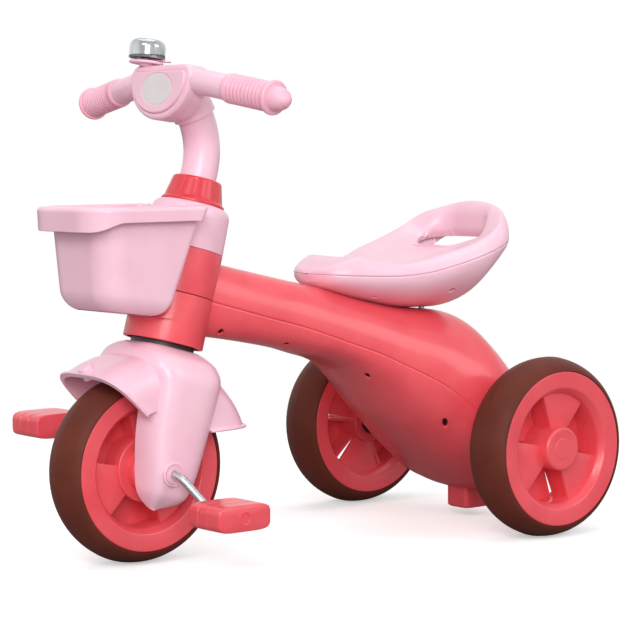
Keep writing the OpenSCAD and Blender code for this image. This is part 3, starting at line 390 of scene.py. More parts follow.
def new_material(name):
    """An empty material, its node tree and the object's own coordinates."""
    material = bpy.data.materials.new(name)
    material.use_nodes = True
    tree = material.node_tree
    tree.nodes.clear()
    return material, tree, add_node(tree, "ShaderNodeTexCoord").outputs["Object"]


def principled(tree, inputs):
    """The shader with its inputs, linked to the material's output."""
    shader = add_node(tree, "ShaderNodeBsdfPrincipled", inputs)
    add_node(tree, "ShaderNodeOutputMaterial", {"Surface": shader.outputs[0]})


def two_tones(tree, factor, shade, tone, low, high):
    """A colour that goes from shade to tone while the factor goes from low to high."""
    ramp = add_node(tree, "ShaderNodeValToRGB", {"Fac": factor})
    for element, place, colour in zip(ramp.color_ramp.elements, (low, high), (shade, tone)):
        element.position, element.color = place, linear(colour)
    return ramp.outputs["Color"]


def spread(tree, factor, low, high):
    """The factor's middle range, 0.3 to 0.7, laid over low to high."""
    levels = {"Value": factor, "From Min": 0.3, "From Max": 0.7, "To Min": low, "To Max": high}
    return add_node(tree, "ShaderNodeMapRange", levels).outputs["Result"]


def noise(tree, place, size_mm, detail):
    """Noise whose grains are size_mm wide, as a value from 0 to 1."""
    made = add_node(tree, "ShaderNodeTexNoise", {"Vector": place, "Scale": 1000 / size_mm, "Detail": detail})
    return made.outputs["Fac"]


# %% [markdown]
# One recipe serves every moulded part, because they come from the same kind of
# press: two close tones drift over a few centimetres, roughness drifts with
# them, and two bumps are added: a slow ripple and the mould's grain.

# %% Moulded plastic
def moulded(name, tone, shade, roughness, grain_mm, grain_depth, ior=1.49, coat=0.0, specular=0.5):
    """A moulded skin: drift_mm is the size of the slow drift of tone and
    roughness, ripple_mm and ripple_depth that of the cooled wall's ripple."""
    drift_mm, ripple_mm, ripple_depth = 38, 55, 0.05
    material, tree, place = new_material(name)
    drift = noise(tree, place, drift_mm, 3.0)
    ripple, grain = noise(tree, place, ripple_mm, 1.0), noise(tree, place, grain_mm, 2.0)
    slow = add_node(tree, "ShaderNodeBump", {"Height": ripple, "Distance": ripple_depth * MM})
    fine = add_node(tree, "ShaderNodeBump", {"Height": grain, "Distance": grain_depth * MM,
                                             "Normal": slow.outputs["Normal"]})
    principled(tree, {
        "Base Color": two_tones(tree, drift, shade, tone, 0.35, 0.62),
        "Roughness": spread(tree, drift, roughness - 0.03, roughness + 0.04),
        "Normal": fine.outputs["Normal"], "IOR": ior, "Coat Weight": coat,
        "Specular IOR Level": specular, "Coat Roughness": 0.12})
    return material


# Satin polypropylene: strong even colour, a soft broad highlight on every edge
CORAL_PP = moulded("coral_moulded_polypropylene", "#f15962", "#eb505b", 0.33, 1.1, 0.010, coat=0.25)
PINK_PP = moulded("pink_moulded_polypropylene", "#fbcddd", "#f8c6d8", 0.33, 1.1, 0.010, coat=0.2)
# The same pink deep in the saddle's wells, where little light comes
PINK_SHADE = moulded("shaded_pink_polypropylene", "#d98fa6", "#d2869e", 0.4, 1.1, 0.010)
# The lock collar's coral: a stiffer grade with more pigment, so a deeper red
COLLAR_PP = moulded("deep_coral_polypropylene", "#e03c48", "#d93642", 0.36, 1.1, 0.010, coat=0.15)
# Soft thermoplastic rubber of the grips: the same pink, but duller and finer
PINK_TPR = moulded("pink_thermoplastic_rubber", "#f9bfd1", "#f5b5c9", 0.42, 0.9, 0.015)
# Foamed EVA of the tyres: matt, faintly speckled, with wide weak highlights
BROWN_EVA = moulded("brown_eva_foam", "#683024", "#5e2a1f", 0.55, 1.4, 0.03, specular=0.18)
# Dyed nylon of the bushes: waxy, a shade deeper than the fork round it
NYLON = moulded("pink_dyed_nylon", "#f4c3d2", "#eebacb", 0.38, 1.2, 0.01, ior=1.53)
# Pale film of the bare plate on the console: nearly white, silky
PALE_PLATE = moulded("pale_polypropylene_film", "#e9e3e2", "#e3dcdb", 0.4, 1.0, 0.004)
# Dark polypropylene of the ring and the washers
DARK_PP = moulded("dark_moulded_polypropylene", "#3a3033", "#322a2d", 0.45, 1.2, 0.012)


# %% [markdown]
# The metal parts. Zinc-plated steel is bright with fine draw marks along the
# rod; the bell is chromed and mirror-like, with only the faintest haze, and the
# upright light and dark bands in its colour are painted reflections. A metal
# keeps the default IOR and is described by its colour and roughness.

# %% Plated steel and chrome
def plated(name, tone, shade, roughness, streak_mm, stretch=(0.15, 1.0, 1.0)):
    """A plated skin: streaks of the given size, drawn long by stretch, move its
    tone, its haze and a bump 0.004 mm deep. On zinc they are draw marks; on
    chrome the light and dark bands they give its tone are painted reflections."""
    material, tree, place = new_material(name)
    lie = add_node(tree, "ShaderNodeMapping", {"Vector": place, "Scale": stretch})
    # on chrome the light and dark streaks of these marks are painted reflections; on zinc they are draw marks
    marks_and_painted_reflections = noise(tree, lie.outputs[0], streak_mm, 4.0)
    bump = add_node(tree, "ShaderNodeBump", {"Height": marks_and_painted_reflections, "Distance": 0.004 * MM})
    principled(tree, {
        "Base Color": two_tones(tree, marks_and_painted_reflections, shade, tone, 0.3, 0.7),
        "Roughness": spread(tree, marks_and_painted_reflections, roughness * 0.8, roughness * 1.3),
        "Normal": bump.outputs["Normal"], "Metallic": 1.0})
    return material


# Zinc plating: bright and slightly hazy, with marks along the rod
ZINC = plated("zinc_plated_steel", "#d3d6d9", "#bcc1c6", 0.2, 2.0)
# Chrome: nearly a mirror, with faint upright streaks that are painted reflections in its colour
CHROME = plated("chromed_steel", "#e2e4e6", "#8f9397", 0.12, 14.0, (1.0, 1.0, 0.12))
# Screw heads darkened and tinted coral in their colour: painted shade of the deep wells and painted reflection of
# the coral round them
SCREW_PAINTED_WELL_SHADE = plated("screw_steel_painted_well_shade", "#6b2a2f", "#4c1c20", 0.5, 3.0)
print("materials:", [m.name for m in bpy.data.materials])

# %% [markdown]
# The stage: a wide pale floor that keeps the tricycle's shadow and a white
# surround, four broad soft lamps, and the camera low at the front left corner
# with a long lens. The surround shows white to the camera and in reflections,
# and gives a softer light to the surfaces themselves.

# %% Floor and surround
def make_floor(size=60.0):
    mesh = bpy.data.meshes.new("studio_floor")
    h = size / 2
    mesh.from_pydata([(-h, -h, 0), (h, -h, 0), (h, h, 0), (-h, h, 0)], [], [(0, 1, 2, 3)])
    floor = bpy.data.objects.new("studio_floor", mesh)
    bpy.context.scene.collection.objects.link(floor)
    material, tree, place = new_material("studio_paper")
    paper = add_node(tree, "ShaderNodeBsdfDiffuse", {"Color": linear("#f8f8f8")})
    light_path = add_node(tree, "ShaderNodeLightPath")
    far = add_node(tree, "ShaderNodeVectorMath", {0: place}, operation="LENGTH")
    away = add_node(tree, "ShaderNodeMapRange", {"Value": far.outputs["Value"], "From Min": 0.45, "From Max": 1.1},
                    interpolation_type="SMOOTHSTEP")
    lift = add_node(tree, "ShaderNodeEmission", {"Color": (1, 1, 1, 1), "Strength": 0.45})
    white = add_node(tree, "ShaderNodeEmission", {"Color": (1, 1, 1, 1), "Strength": 1.0})
    near = add_node(tree, "ShaderNodeAddShader", {0: paper.outputs[0], 1: lift.outputs[0]})
    wide = add_node(tree, "ShaderNodeMixShader", {"Fac": away.outputs["Result"],
                                                  1: near.outputs[0], 2: white.outputs[0]})
    # the light it throws back up is that of a duller paper, so that undersides stay deep
    dull = add_node(tree, "ShaderNodeBsdfDiffuse", {"Color": linear("#a6a2a2")})
    seen = add_node(tree, "ShaderNodeMixShader", {"Fac": light_path.outputs["Is Camera Ray"],
                                                  1: dull.outputs[0], 2: wide.outputs[0]})
    add_node(tree, "ShaderNodeOutputMaterial", {"Surface": seen.outputs[0]})
    mesh.materials.append(material)


def make_world(strength=0.46):
    world = bpy.data.worlds.new("white_surround")
    bpy.context.scene.world = world
    world.use_nodes = True
    tree = world.node_tree
    tree.nodes.clear()
    path = add_node(tree, "ShaderNodeLightPath")
    seen = path.outputs["Is Camera Ray"]
    for kind in ("Is Glossy Ray", "Is Transmission Ray"):
        seen = add_node(tree, "ShaderNodeMath", {0: seen, 1: path.outputs[kind]}, operation="MAXIMUM").outputs[0]
    level = add_node(tree, "ShaderNodeMapRange", {"Value": seen, "To Min": strength, "To Max": 1.0})
    sky = add_node(tree, "ShaderNodeBackground", {"Color": (1, 1, 1, 1), "Strength": level.outputs["Result"]})
    add_node(tree, "ShaderNodeOutputWorld", {"Surface": sky.outputs[0]})


make_floor()
make_world()


# %% Lamps and camera
def softbox(name, place, target, size, power):
    """A square area lamp at a place, facing its target."""
    lamp = bpy.data.lights.new(name, "AREA")
    lamp.shape, lamp.size, lamp.energy = "SQUARE", size, power
    box = bpy.data.objects.new(name, lamp)
    bpy.context.scene.collection.objects.link(box)
    box.location = place
    box.rotation_euler = (Vector(target) - Vector(place)).to_track_quat("-Z", "Y").to_euler()


LIT_POINT = (0, 0, 0.25)
softbox("key_softbox", (1.6, -2.6, 2.4), LIT_POINT, 1.3, 34)
softbox("front_fill", (2.7, -2.0, 1.25), LIT_POINT, 1.5, 49)
softbox("side_softbox", (2.6, 1.2, 1.5), LIT_POINT, 1.4, 17)
softbox("top_softbox", (-0.6, 0.3, 2.6), LIT_POINT, 1.8, 13)

CAMERA_AZIMUTH, CAMERA_ELEVATION, CAMERA_ROLL = 51.7, 4.29, -0.43
CAMERA_PLACE, CAMERA_SENSOR, CAMERA_LENS = (1.774084, -1.382405, 0.394006), 36.0, 130.48


def make_camera():
    """The camera's axes: back points at it from the target, right is level,
    and both right and up are turned by the small roll."""
    a, e, r = CAMERA_AZIMUTH, CAMERA_ELEVATION, CAMERA_ROLL
    back = np.array([sin(a) * cos(e), -cos(a) * cos(e), sin(e)])
    right = np.array([cos(a), sin(a), 0])
    up = np.cross(back, right)
    right, up = cos(r) * right + sin(r) * up, -sin(r) * right + cos(r) * up
    lens = bpy.data.cameras.new("camera")
    lens.sensor_width, lens.lens = CAMERA_SENSOR, CAMERA_LENS
    camera = bpy.data.objects.new("camera", lens)
    bpy.context.scene.collection.objects.link(camera)
    m = np.eye(4)
    m[:3] = stacked(right, up, back, CAMERA_PLACE)
    camera.matrix_world = Matrix(m.tolist())
    bpy.context.scene.camera = camera


make_camera()
bpy.context.scene.view_settings.view_transform = "Standard"
print("camera set")

# %% [markdown]
# Tyres. A foamed EVA ring with a full crown and a fine parting line round its
# middle, where the two mould halves met. It is a turned profile: the crown is a
# superellipse over the flange of the rim, and the line is a small raised bead.

# %% Tyres
TYRE_H = 12.5
FLANGE_R = WHEEL_R - TYRE_H
BARREL_R = FLANGE_R - 9
FACE_X = TYRE_W / 2 - SKIN_GAP
CROWN_POWER = 1.68
BEAD_H, BEAD_HALF = 0.25, 0.5


def tyre_skin():
    """radius = flange + height (1 - |x|^p)^(1/p) over x from -1 to 1 across the
    tread, with a bead 0.25 mm high at x = 0, then in to the barrel and back."""
    x = -cos(np.linspace(0, 180, 61))
    r = FLANGE_R + TYRE_H * np.maximum(0, 1 - np.abs(x) ** CROWN_POWER) ** (1 / CROWN_POWER)
    r = r - BEAD_H + BEAD_H * np.exp(-(x * TYRE_W / 2 / BEAD_HALF) ** 2)
    crown = stacked(r, x * TYRE_W / 2 * 0.996)
    inner = np.array([[FLANGE_R - 0.4, FACE_X - 3], [BARREL_R, FACE_X - 5],
                      [BARREL_R, -FACE_X + 5], [FLANGE_R - 0.4, -FACE_X + 3]])
    return placed(lathe(np.vstack([crown, inner]), 144), along_x)


tyre = tyre_skin()
add_piece("front_tyre_tread", placed(tyre, on_steering), BROWN_EVA, "front_wheel",
          ["front_tyre"])
SIDES = ((1, "left"), (-1, "right"))
for side, hand in SIDES:
    add_piece(f"{hand}_rear_tyre_tread", placed(tyre, at_rear(side)), BROWN_EVA, f"{hand}_rear_wheel",
              [f"{hand}_rear_tyre"])

# %% [markdown]
# Rims. Each is one moulding: a flat ring with soft edges round a deep well, two
# thin webs that leave three broad fan-shaped spokes, ribs between the webs at
# both sides of each window, and a round hub that stands forward. The ring and
# the hub are turned profiles. A spoke is a slab in polar coordinates whose
# edges are drawn in near its faces, which gives the rounded look.

# %% Rims
RING_W = 17.0
RIM_WELL_R = FLANGE_R - RING_W - 6
WEB_X = FACE_X - 11
WEB_T = 5.0
HUB_R = 22.0
WINDOW_SPAN = 62
RIB_T = 2.8


def rim_ring():
    """The drum of the rim: outer flange, face ring, slope into the well, and the
    same on the other side, with every edge rounded."""
    half = np.array([[FLANGE_R - 0.5, FACE_X], [FLANGE_R - RING_W, FACE_X - 1.5],
                     [RIM_WELL_R + 0.8, FACE_X - 8], [RIM_WELL_R, WEB_X - WEB_T]])
    line = np.vstack([half, half[::-1] * np.array([1, -1])])
    return placed(lathe_rounded(line, [1.6, 1.2, 2.2, 0.6, 0.6, 2.2, 1.2, 1.6], 6, 144), along_x)


def spoke(centre, x_face, side, span_a):
    """One fan-shaped spoke: angle a runs over the span span_a and radius r from
    the hub to the well. Its two faces are x_face and 5 mm behind; the outline is
    drawn in by up to 0.9 mm near the faces, which rounds the edges."""
    a, up = np.linspace(-1, 1, 25), np.linspace(0, 1, 15)[1:-1]
    # once round the fan: share of the half span, share of the way from hub to well
    edge_a = np.concatenate([a, np.ones(13), a[::-1], -np.ones(13)])
    edge_r = np.concatenate([np.zeros(25), up, np.ones(25), up[::-1]])
    r0, r1 = HUB_R - 3, RIM_WELL_R + 3
    r = r0 + (r1 - r0) * edge_r
    rings = []
    for d, inset in ((0, 0.9), (0.15, 0.35), (0.55, 0.08), (1.1, 0), (WEB_T - 0.8, 0), (WEB_T, 0.8)):
        angle = centre + edge_a * (span_a / 2 - np.degrees(inset / r))
        rings.append(stacked(side * (x_face - d), r * cos(angle), r * sin(angle)))
    return tube_skin(np.array(rings))


def rib(angle):
    """A thin wall along a window's edge, between the webs."""
    x, y = WEB_X - 2, RIB_T / 2
    section = [(-x, -y), (-x, y), (x, y), (x, -y)]
    rings = [[(*p, r) for p in section] for r in (HUB_R - 2, RIM_WELL_R + 3)]
    return placed(tube_skin(rings), turned(0, angle))


def hub_barrel(x0, x1):
    """A hub: a barrel with a well rounded outer edge and a small shoulder where
    it meets the web."""
    line = [[ROD_R, x0], [HUB_R - 0.5, x0], [HUB_R, x0 + 2], [HUB_R, x1], [ROD_R, x1]]
    return placed(lathe_rounded(line, [0.2, 2, 1, 3.6, 0.2], 8, 72), along_x)


def rim_skin(x0, x1, turn_a, extra=(), far_span=58):
    """The far web is turned by half a step, so that its spokes, far_span wide,
    lie behind the near windows."""
    parts = [rim_ring(), hub_barrel(x0, x1)]
    for step_a in turn_a + 120 * np.arange(3):
        parts.append(spoke(step_a + 90, WEB_X, 1, 120 - WINDOW_SPAN))
        parts.append(spoke(step_a + 150, WEB_X, -1, far_span))
        parts += [rib(step_a + 60 + s * (WINDOW_SPAN / 2 + 4.5)) for s in (-1, 1)]
    return joined(*parts, *extra)


REAR_TURN, FRONT_TURN = -12, 3
HUB_IN, HUB_OUT = -TYRE_W / 2 + 2, TYRE_W / 2
CAP_R = 11.0
CAP_X = HUB_OUT + 0.35
cap_line = [[0.05, HUB_OUT - 2], [CAP_R, HUB_OUT - 2], [CAP_R, CAP_X], [0.05, CAP_X]]
cap = placed(lathe_rounded(cap_line, [0, 0.2, 0.9, 0], 6, 72), along_x)
for side, hand in SIDES:
    add_piece(f"{hand}_rear_rim_moulding", placed(rim_skin(HUB_IN, HUB_OUT, REAR_TURN), at_rear(side)),
              CORAL_PP, f"{hand}_rear_wheel", [f"{hand}_rear_rim"])
    add_piece(f"{hand}_hub_cap_button", placed(cap, at_rear(side)), CORAL_PP, f"{hand}_rear_wheel",
              [f"{hand}_hub_cap"])
drum_r, drum_x = HUB_R + 9, WEB_X + 3
drum_line = [[HUB_R - 2, -drum_x], [drum_r, -drum_x], [drum_r, drum_x], [HUB_R - 2, drum_x]]
front_hub = placed(lathe_rounded(drum_line, [0.3, 1.5, 1.5, 0.3], 6, 72), along_x)
FORK_GAP = 59.0
front_rim = rim_skin(1 - FORK_GAP / 2, FORK_GAP / 2 - 1, FRONT_TURN, [front_hub], far_span=86)
add_piece("front_rim_moulding", placed(front_rim, on_steering), CORAL_PP, "front_wheel",
          ["front_rim"])

# %% [markdown]
# Crank and pedals. The crank is one 8 mm rod: straight through the hub, bent
# down on one side and up on the other. A path with rounded bends carries a
# round section. The pedals are ribbed blocks that turn on its ends: the long
# section is a rounded shape, and two grooves are cut round it.

# %% Crank rod
CRANK_R = 35.0
CRANK_TURN = 64 - RAKE
FORK_X = 62.0
CRANK_X = FORK_X + 9
SPINDLE_X = 100.0
PEDAL_IN, PEDAL_W, PEDAL_L, PEDAL_T = 104.0, 48.0, 60.0, 25.0
SPINDLE_END = PEDAL_IN + PEDAL_W - 4
crank_dir = np.array([0, cos(CRANK_TURN), -sin(CRANK_TURN)]) * CRANK_R
half_path = np.array([[CRANK_X, 0, 0], [SPINDLE_X, *crank_dir[1:]], [SPINDLE_END, *crank_dir[1:]]])
path = np.vstack([-half_path[::-1], half_path])
path = rounded(path, [0, 11, 11, 11, 11, 0], 12, closed=False)
dense = np.concatenate([[0], np.cumsum(np.linalg.norm(np.diff(path, axis=0), axis=1))])
keep = np.concatenate([[True], np.diff(dense) > 0.05])
add_piece("crank_rod", placed(pipe(path[keep], ROD_R), on_steering), ZINC, "front_wheel",
          ["crank_axle"])


# %% Pedals
GROOVES_AT, GROOVE_DEEP, GROOVE_HALF = (16.0, 30.5), 1.7, 0.75
PEDAL_FILLET, PEDAL_POWER = 2.5, 0.42


def pedal_skin():
    """Rings across the pedal at places x along the spindle. A ring is a rounded
    box, y = b cos^0.42 t and z = c sin^0.42 t. At each groove b is drawn in by
    1.7 mm and c by half of that, and at the ends by the fillet's quarter circle."""
    near_end = np.linspace(0, PEDAL_FILLET, 7)
    x = np.concatenate([near_end, np.linspace(3, PEDAL_W - 3, 90), PEDAL_W - near_end[::-1]])
    draw = sum(GROOVE_DEEP * np.exp(-((x - g) / GROOVE_HALF) ** 4) for g in GROOVES_AT)
    end = np.minimum(np.minimum(x, PEDAL_W - x), PEDAL_FILLET)
    draw += PEDAL_FILLET - np.sqrt(np.maximum(0, PEDAL_FILLET**2 - (PEDAL_FILLET - end) ** 2))
    t = np.linspace(0, 360, 96, endpoint=False)
    bulge = sin(180 * x / PEDAL_W) - 0.6
    b = (PEDAL_L / 2 - 0.4 + bulge - draw)[:, None]
    c = (PEDAL_T / 2 - 0.4 - 0.5 * draw)[:, None]
    y, z = b * signed_pow(cos(t), PEDAL_POWER), c * signed_pow(sin(t), PEDAL_POWER)
    return tube_skin(stacked(x[:, None], y, z))


def spindle_cap():
    """The small round end of the spindle's bore on the pedal's outer face."""
    r0, r1, x0, x1 = ROD_R + 0.5, ROD_R + 3.2, PEDAL_W - 3, PEDAL_W + 0.5
    return placed(lathe_rounded([[r0, x0], [r1, x0], [r1, x1], [r0, x1]], 0.5, 4, 48), along_x)


# the right pedal is the left one, mirrored and turned half round the front axle
pedal = joined(pedal_skin(), spindle_cap())
left_pedal = placed(pedal, turned(0, RAKE), moved(PEDAL_IN, *crank_dir[1:]))
right_pedal = placed(pedal, turned(0, RAKE + 180), moved(PEDAL_IN, *crank_dir[1:]), flip_x, turned(0, 180))
for hand, skin in (("left", left_pedal), ("right", right_pedal)):
    add_piece(f"{hand}_pedal_block", placed(skin, on_steering), CORAL_PP, f"{hand}_pedal_body",
              [f"{hand}_pedal"])

# %% [markdown]
# Fork. One pink moulding: a crown that runs down into two deep legs, each a
# rounded shell that closes in a round foot. A half is worked out ring by ring up
# the steering axis: the outside is a superellipse whose width and depth follow
# two curves, and the inside is a wall whose distance from the middle depends on
# place, so that it leaves room for the wheel and a pocket in the leg. The two
# halves are then mirrored and joined along the middle.

# %% Fork legs and crown
LEG_DEPTH = 76.0
GAP_X = FORK_GAP / 2
LEG_END_H = 2 - LEG_DEPTH / 2
WIDTH_KEYS = [[0, 0.8], [0.05, 0.86], [0.13, 0.94], [0.25, 1], [0.45, 1], [0.75, 1.02],
              [0.86, 0.98], [0.94, 0.84], [0.985, 0.62], [1, 0.5]]
FRONT_KEYS = [[0, 0.14], [0.05, 0.29], [0.13, 0.46], [0.25, 0.605], [0.45, 0.785], [0.75, 0.93],
              [0.86, 1.06], [0.94, 1.04], [0.985, 0.9], [1, 0.8]]
REAR_KEYS = [[0, 0.3], [0.05, 0.79], [0.13, 0.985], [0.25, 1.07], [0.45, 1.16], [0.75, 1.23],
             [0.86, 1.25], [0.94, 1.1], [0.985, 0.9], [1, 0.8]]
BUSH_R = 7.0
FOOT_SHARE, FOOT_IN = 0.11, 13.0
LEG_POWER = 0.55


def inner_wall(y, h):
    """Distance of the inner face from the middle: the gap's half width where
    the wheel's arch needs it, 0 above it, and further out in the leg's pocket,
    except round the crank's bush."""
    arch = smooth_step((WHEEL_R + 7 - np.hypot(y, h)) / 3 + 0.5)
    low = smooth_step(-h / 4)
    x = GAP_X * np.maximum(arch, low)
    b, f = LEG_DEPTH / 2 - 6, 0.28 * LEG_DEPTH - 6
    across = smooth_step((b - y) / 5) * smooth_step((f + y) / 5)
    up = smooth_step((h + 2) / 4) * smooth_step((WHEEL_R - 6 - h) / 4)
    boss = smooth_step((np.hypot(y, h) - BUSH_R - 5) / 2)
    return x + (FORK_X - 8 - GAP_X) * across * up * boss


def fork_half():
    """Rings at heights h; a ring runs from the front inner edge round the
    outside to the rear inner edge and back along the inner wall."""
    s = (1 - cos(np.linspace(0, 180, 84))) / 2
    h = LEG_END_H + s * (CROWN_H - LEG_END_H)
    foot = np.sqrt(np.clip(1 - (1 - np.minimum(s / FOOT_SHARE, 1)) ** 2, 0, 1))
    near = GAP_X + FOOT_IN * (1 - foot)
    a = near + (FORK_X * key_curve(WIDTH_KEYS, s) - near) * (0.1 + 0.9 * foot)
    front = LEG_DEPTH / 2 * key_curve(FRONT_KEYS, s) * (0.2 + 0.8 * foot)
    rear = LEG_DEPTH / 2 * key_curve(REAR_KEYS, s) * (0.2 + 0.8 * foot)
    n, m = 61, 41
    inner = np.where(h < WHEEL_R + 5, near, 0.0)
    inner = np.minimum(inner, a * 0.97)
    # angle at which the superellipse reaches the inner plane
    limit = np.degrees(np.arccos(np.clip((inner / a) ** (1 / LEG_POWER), 0, 1)))
    t = np.linspace(-1, 1, n)[None] * limit[:, None]
    b = np.where(t < 0, front[:, None], rear[:, None])
    x, y = a[:, None] * signed_pow(cos(t), LEG_POWER), b * signed_pow(sin(t), LEG_POWER)
    x = np.maximum(x, inner[:, None])
    back = np.linspace(0, 1, m)[None, 1:-1] * (y[:, :1] - y[:, -1:]) + y[:, -1:]
    wall = np.minimum(inner_wall(back, h[:, None]), a[:, None] - 3)
    wall = np.where(h[:, None] < -2, inner[:, None], wall)
    return stacked(np.concatenate([x, wall], 1), np.concatenate([y, back], 1), h[:, None])


def mirrored_pair(skin, cut=0.02):
    """The skin and its mirror image, less the faces that lie on the middle."""
    verts, faces = skin
    on_middle = verts[:, 0] < cut
    verts = verts.copy()
    verts[on_middle, 0] = 0
    kept = [f for f in faces if not all(on_middle[i] for i in f)]
    n = len(verts)
    both = np.vstack([verts, flip_x(verts)])
    return both, kept + [[i + n for i in f[::-1]] for f in kept]


# %% [markdown]
# Mudguard. A thin arch about the wheel's axle whose section is a wide, soft
# arch, cut by a slanting plane in front and a level one behind, with a small
# raised lip along both cuts. For each line of the section the two cutting
# angles follow from its radius, so the grid ends exactly on the planes.

# %% Mudguard and front knob
GUARD_R, GUARD_X, GUARD_T = 106.0, 50.5, 2.8
LIP_T, LIP_W = 2.6, 2.6
GUARD_DEEP, GUARD_POWER = 46.0, 0.57
GUARD_REAR_Z, GUARD_FRONT_SUM = 34.0, 31.0


def guard_skin():
    """Section angle t gives radius and side: r = R - 46 + (46 + g) sin^0.57 t,
    x = (X + g) cos^0.57 t; the sweep angle f runs from asin(z/r) to
    135 - asin(sum / (r root 2)), and g grows by the lip near both ends."""
    t = np.linspace(0, 180, 73)
    k = np.concatenate([np.linspace(0, 1, 121), [0.004, 0.012, 0.02, 0.98, 0.988, 0.996]])
    k = np.sort(k)[:, None]

    def section(g):
        r = GUARD_R - GUARD_DEEP + (GUARD_DEEP + g) * signed_pow(sin(t), GUARD_POWER)
        return r, (GUARD_X + g) * signed_pow(cos(t), GUARD_POWER)

    def sheet(g, lip_w):
        r, _ = section(g)
        f0 = np.degrees(np.arcsin(np.clip(GUARD_REAR_Z / r, -1, 1)))
        f1 = 135 - np.degrees(np.arcsin(np.clip(GUARD_FRONT_SUM / (r * np.sqrt(2)), -1, 1)))
        f = f0 + (f1 - f0) * k
        far = np.minimum(k, 1 - k) * (np.radians(f1 - f0) * r)
        soft = np.sqrt(np.clip(far / 0.9, 0, 1) * 0.5 + 0.5)
        r, x = section(g + lip_w * (1 - smooth_step((far - LIP_T + 0.8) / 1.6)) * soft)
        return stacked(x, r * cos(f), r * sin(f))

    return folded_skin(sheet(0, 0), sheet(GUARD_T, LIP_W))


def knob_skin():
    """A short turned post with a rounded top on the mudguard's front."""
    post = lathe_rounded([[0.05, -4], [7, -4], [7, 9], [0.05, 9]], [0, 0.5, 2.2, 0], 6, 48)
    return placed(post, turned(0, 8), moved(0, 0, GUARD_R), turned(0, 29))


def boss_rim(side):
    """The raised rim round a crank bush: a turned ring with round edges."""
    r0, r1 = BUSH_R + 2.3, BUSH_R + 4.4
    rim = lathe_rounded([[r0, -3], [r0, 1.2], [r1, 1.2], [r1, -3]], [0.1, 0.5, 0.9, 0.1], 6, 72)
    return placed(rim, moved(0, 0, FORK_X), along_x, stretched(side, 1, 1))


fork_parts = joined(mirrored_pair(tube_skin(fork_half())), boss_rim(1), boss_rim(-1),
                    placed(joined(guard_skin(), knob_skin()), turned(0, RAKE)))
add_piece("fork_with_mudguard", placed(fork_parts, on_steering), PINK_PP, "steering",
          ["fork"], merge=0.05)

# %% [markdown]
# Body. Two coral shells, upper and lower, meet along a seam that falls from the
# head tube to the rear wheels. The outside follows a line from the neck to the
# rear axle: at each share of it, curves give the half width and the heights of
# the top, the seam and the bottom, and the section between them is a
# superellipse. Each shell is pulled in a little at its edge, so that the seam
# shows as a fine dark line, and is then given its wall.

# %% Body shells
BODY_W = 210.0
SEAT_Z = 226.0
NECK_H = HEAD_H0 + 35
NECK_Y = FRONT_Y + NECK_H * sin(RAKE)
NECK_Z = AXLE_Z + NECK_H * cos(RAKE)
BODY_START, BODY_END, TAIL_START = 0.055, 1.245, 1.08
BODY_POWER, BODY_TURN_IN, SEAT_TURN_IN = 0.85, 0.7, 0.6


def spine_z(u):
    return NECK_Z + (AXLE_Z - NECK_Z) * np.minimum(u, 1)


def spine_y(u):
    return NECK_Y + (REAR_Y - NECK_Y) * u


def lean(u):
    """How far the sections lean back: with the head tube at the neck, and less
    and less up to 0.45 of the spine."""
    return np.tan(np.radians(RAKE)) * np.maximum(0, 1 - u / 0.45)


def over_seat(u, rise):
    """A key of the top's curve: a rise over SEAT_Z as a height over the spine."""
    return [u, SEAT_Z + rise - float(spine_z(min(u, 1)))]


PART_KEYS = [[0.055, 15], [0.151, 19.7], [0.255, 24.8], [0.347, 30.2], [0.438, 33.7], [0.526, 35.6],
             [0.609, 37], [0.688, 34.9], [0.766, 31.7], [0.827, 25.9], [0.875, 18.5], [0.925, 11], [1, 2],
             [1.1, -3], [BODY_END, -5]]
TOP_KEYS = [[0.055, 52.5], [0.174, 60.5], [0.34, 73], over_seat(0.43, 29.6), over_seat(0.5, 24.2),
            over_seat(0.62, 12.6), over_seat(0.74, 3.0), over_seat(0.857, -2), over_seat(0.943, -6.5),
            over_seat(1, -21.5), over_seat(1.069, -51), over_seat(1.126, -72), over_seat(1.18, -87),
            over_seat(BODY_END, -100)]
BOTTOM_KEYS = [[0.055, -19], [0.174, -8], [0.34, 5], [0.43, 9.5], [0.5, 13], [0.57, 12], [0.646, 0],
               [0.72, -17], [0.85, -36], [0.934, -46], [1, -53], [1.05, -60], [BODY_END, -62]]
BODY_WIDTH_KEYS = [[0.055, 0.245], [0.174, 0.3], [0.34, 0.36], [0.43, 0.41], [0.57, 0.5], [0.72, 0.67],
                   [0.85, 0.85], [0.94, 0.95], [1, 1], [1.1, 0.99], [BODY_END, 0.94]]


def body_points(u, t, side, deep):
    """u along the spine, t from 0 to 180 across one half. half width w and
    height h shrink by deep; x = w cos^0.85 t, z = seam + side h sin^0.85 t.
    Near t = 0 and 180 the skin turns in by up to 0.7 mm, as a rounded edge."""
    u = u[:, None]
    past = np.maximum(0, (u - TAIL_START) / (BODY_END - TAIL_START))
    tail = np.sqrt(np.maximum(0, 1 - past**2))
    w = np.maximum(BODY_W / 2 * key_curve(BODY_WIDTH_KEYS, u) * tail, 0.6)
    seam = key_curve(PART_KEYS, u)
    h = np.maximum(np.abs(key_curve(TOP_KEYS if side > 0 else BOTTOM_KEYS, u) - seam) * tail, 0.6)
    wi, hi = w - deep * np.minimum(1, w / 12), h - deep * np.minimum(1, h / 12)
    z = hi * np.abs(sin(t))[None] ** BODY_POWER
    edge = np.clip(1 - z / 1.6, 0, 1) ** 2 * BODY_TURN_IN * (deep == 0)
    x = (wi - edge * np.minimum(1, w / 12)) * signed_pow(cos(t), BODY_POWER)[None]
    z = seam + side * (z + SKIN_GAP / 2)
    y = spine_y(u) - (u - BODY_START) / (BODY_END - BODY_START) * deep + z * lean(u)
    return stacked(x, y, spine_z(u) + z)


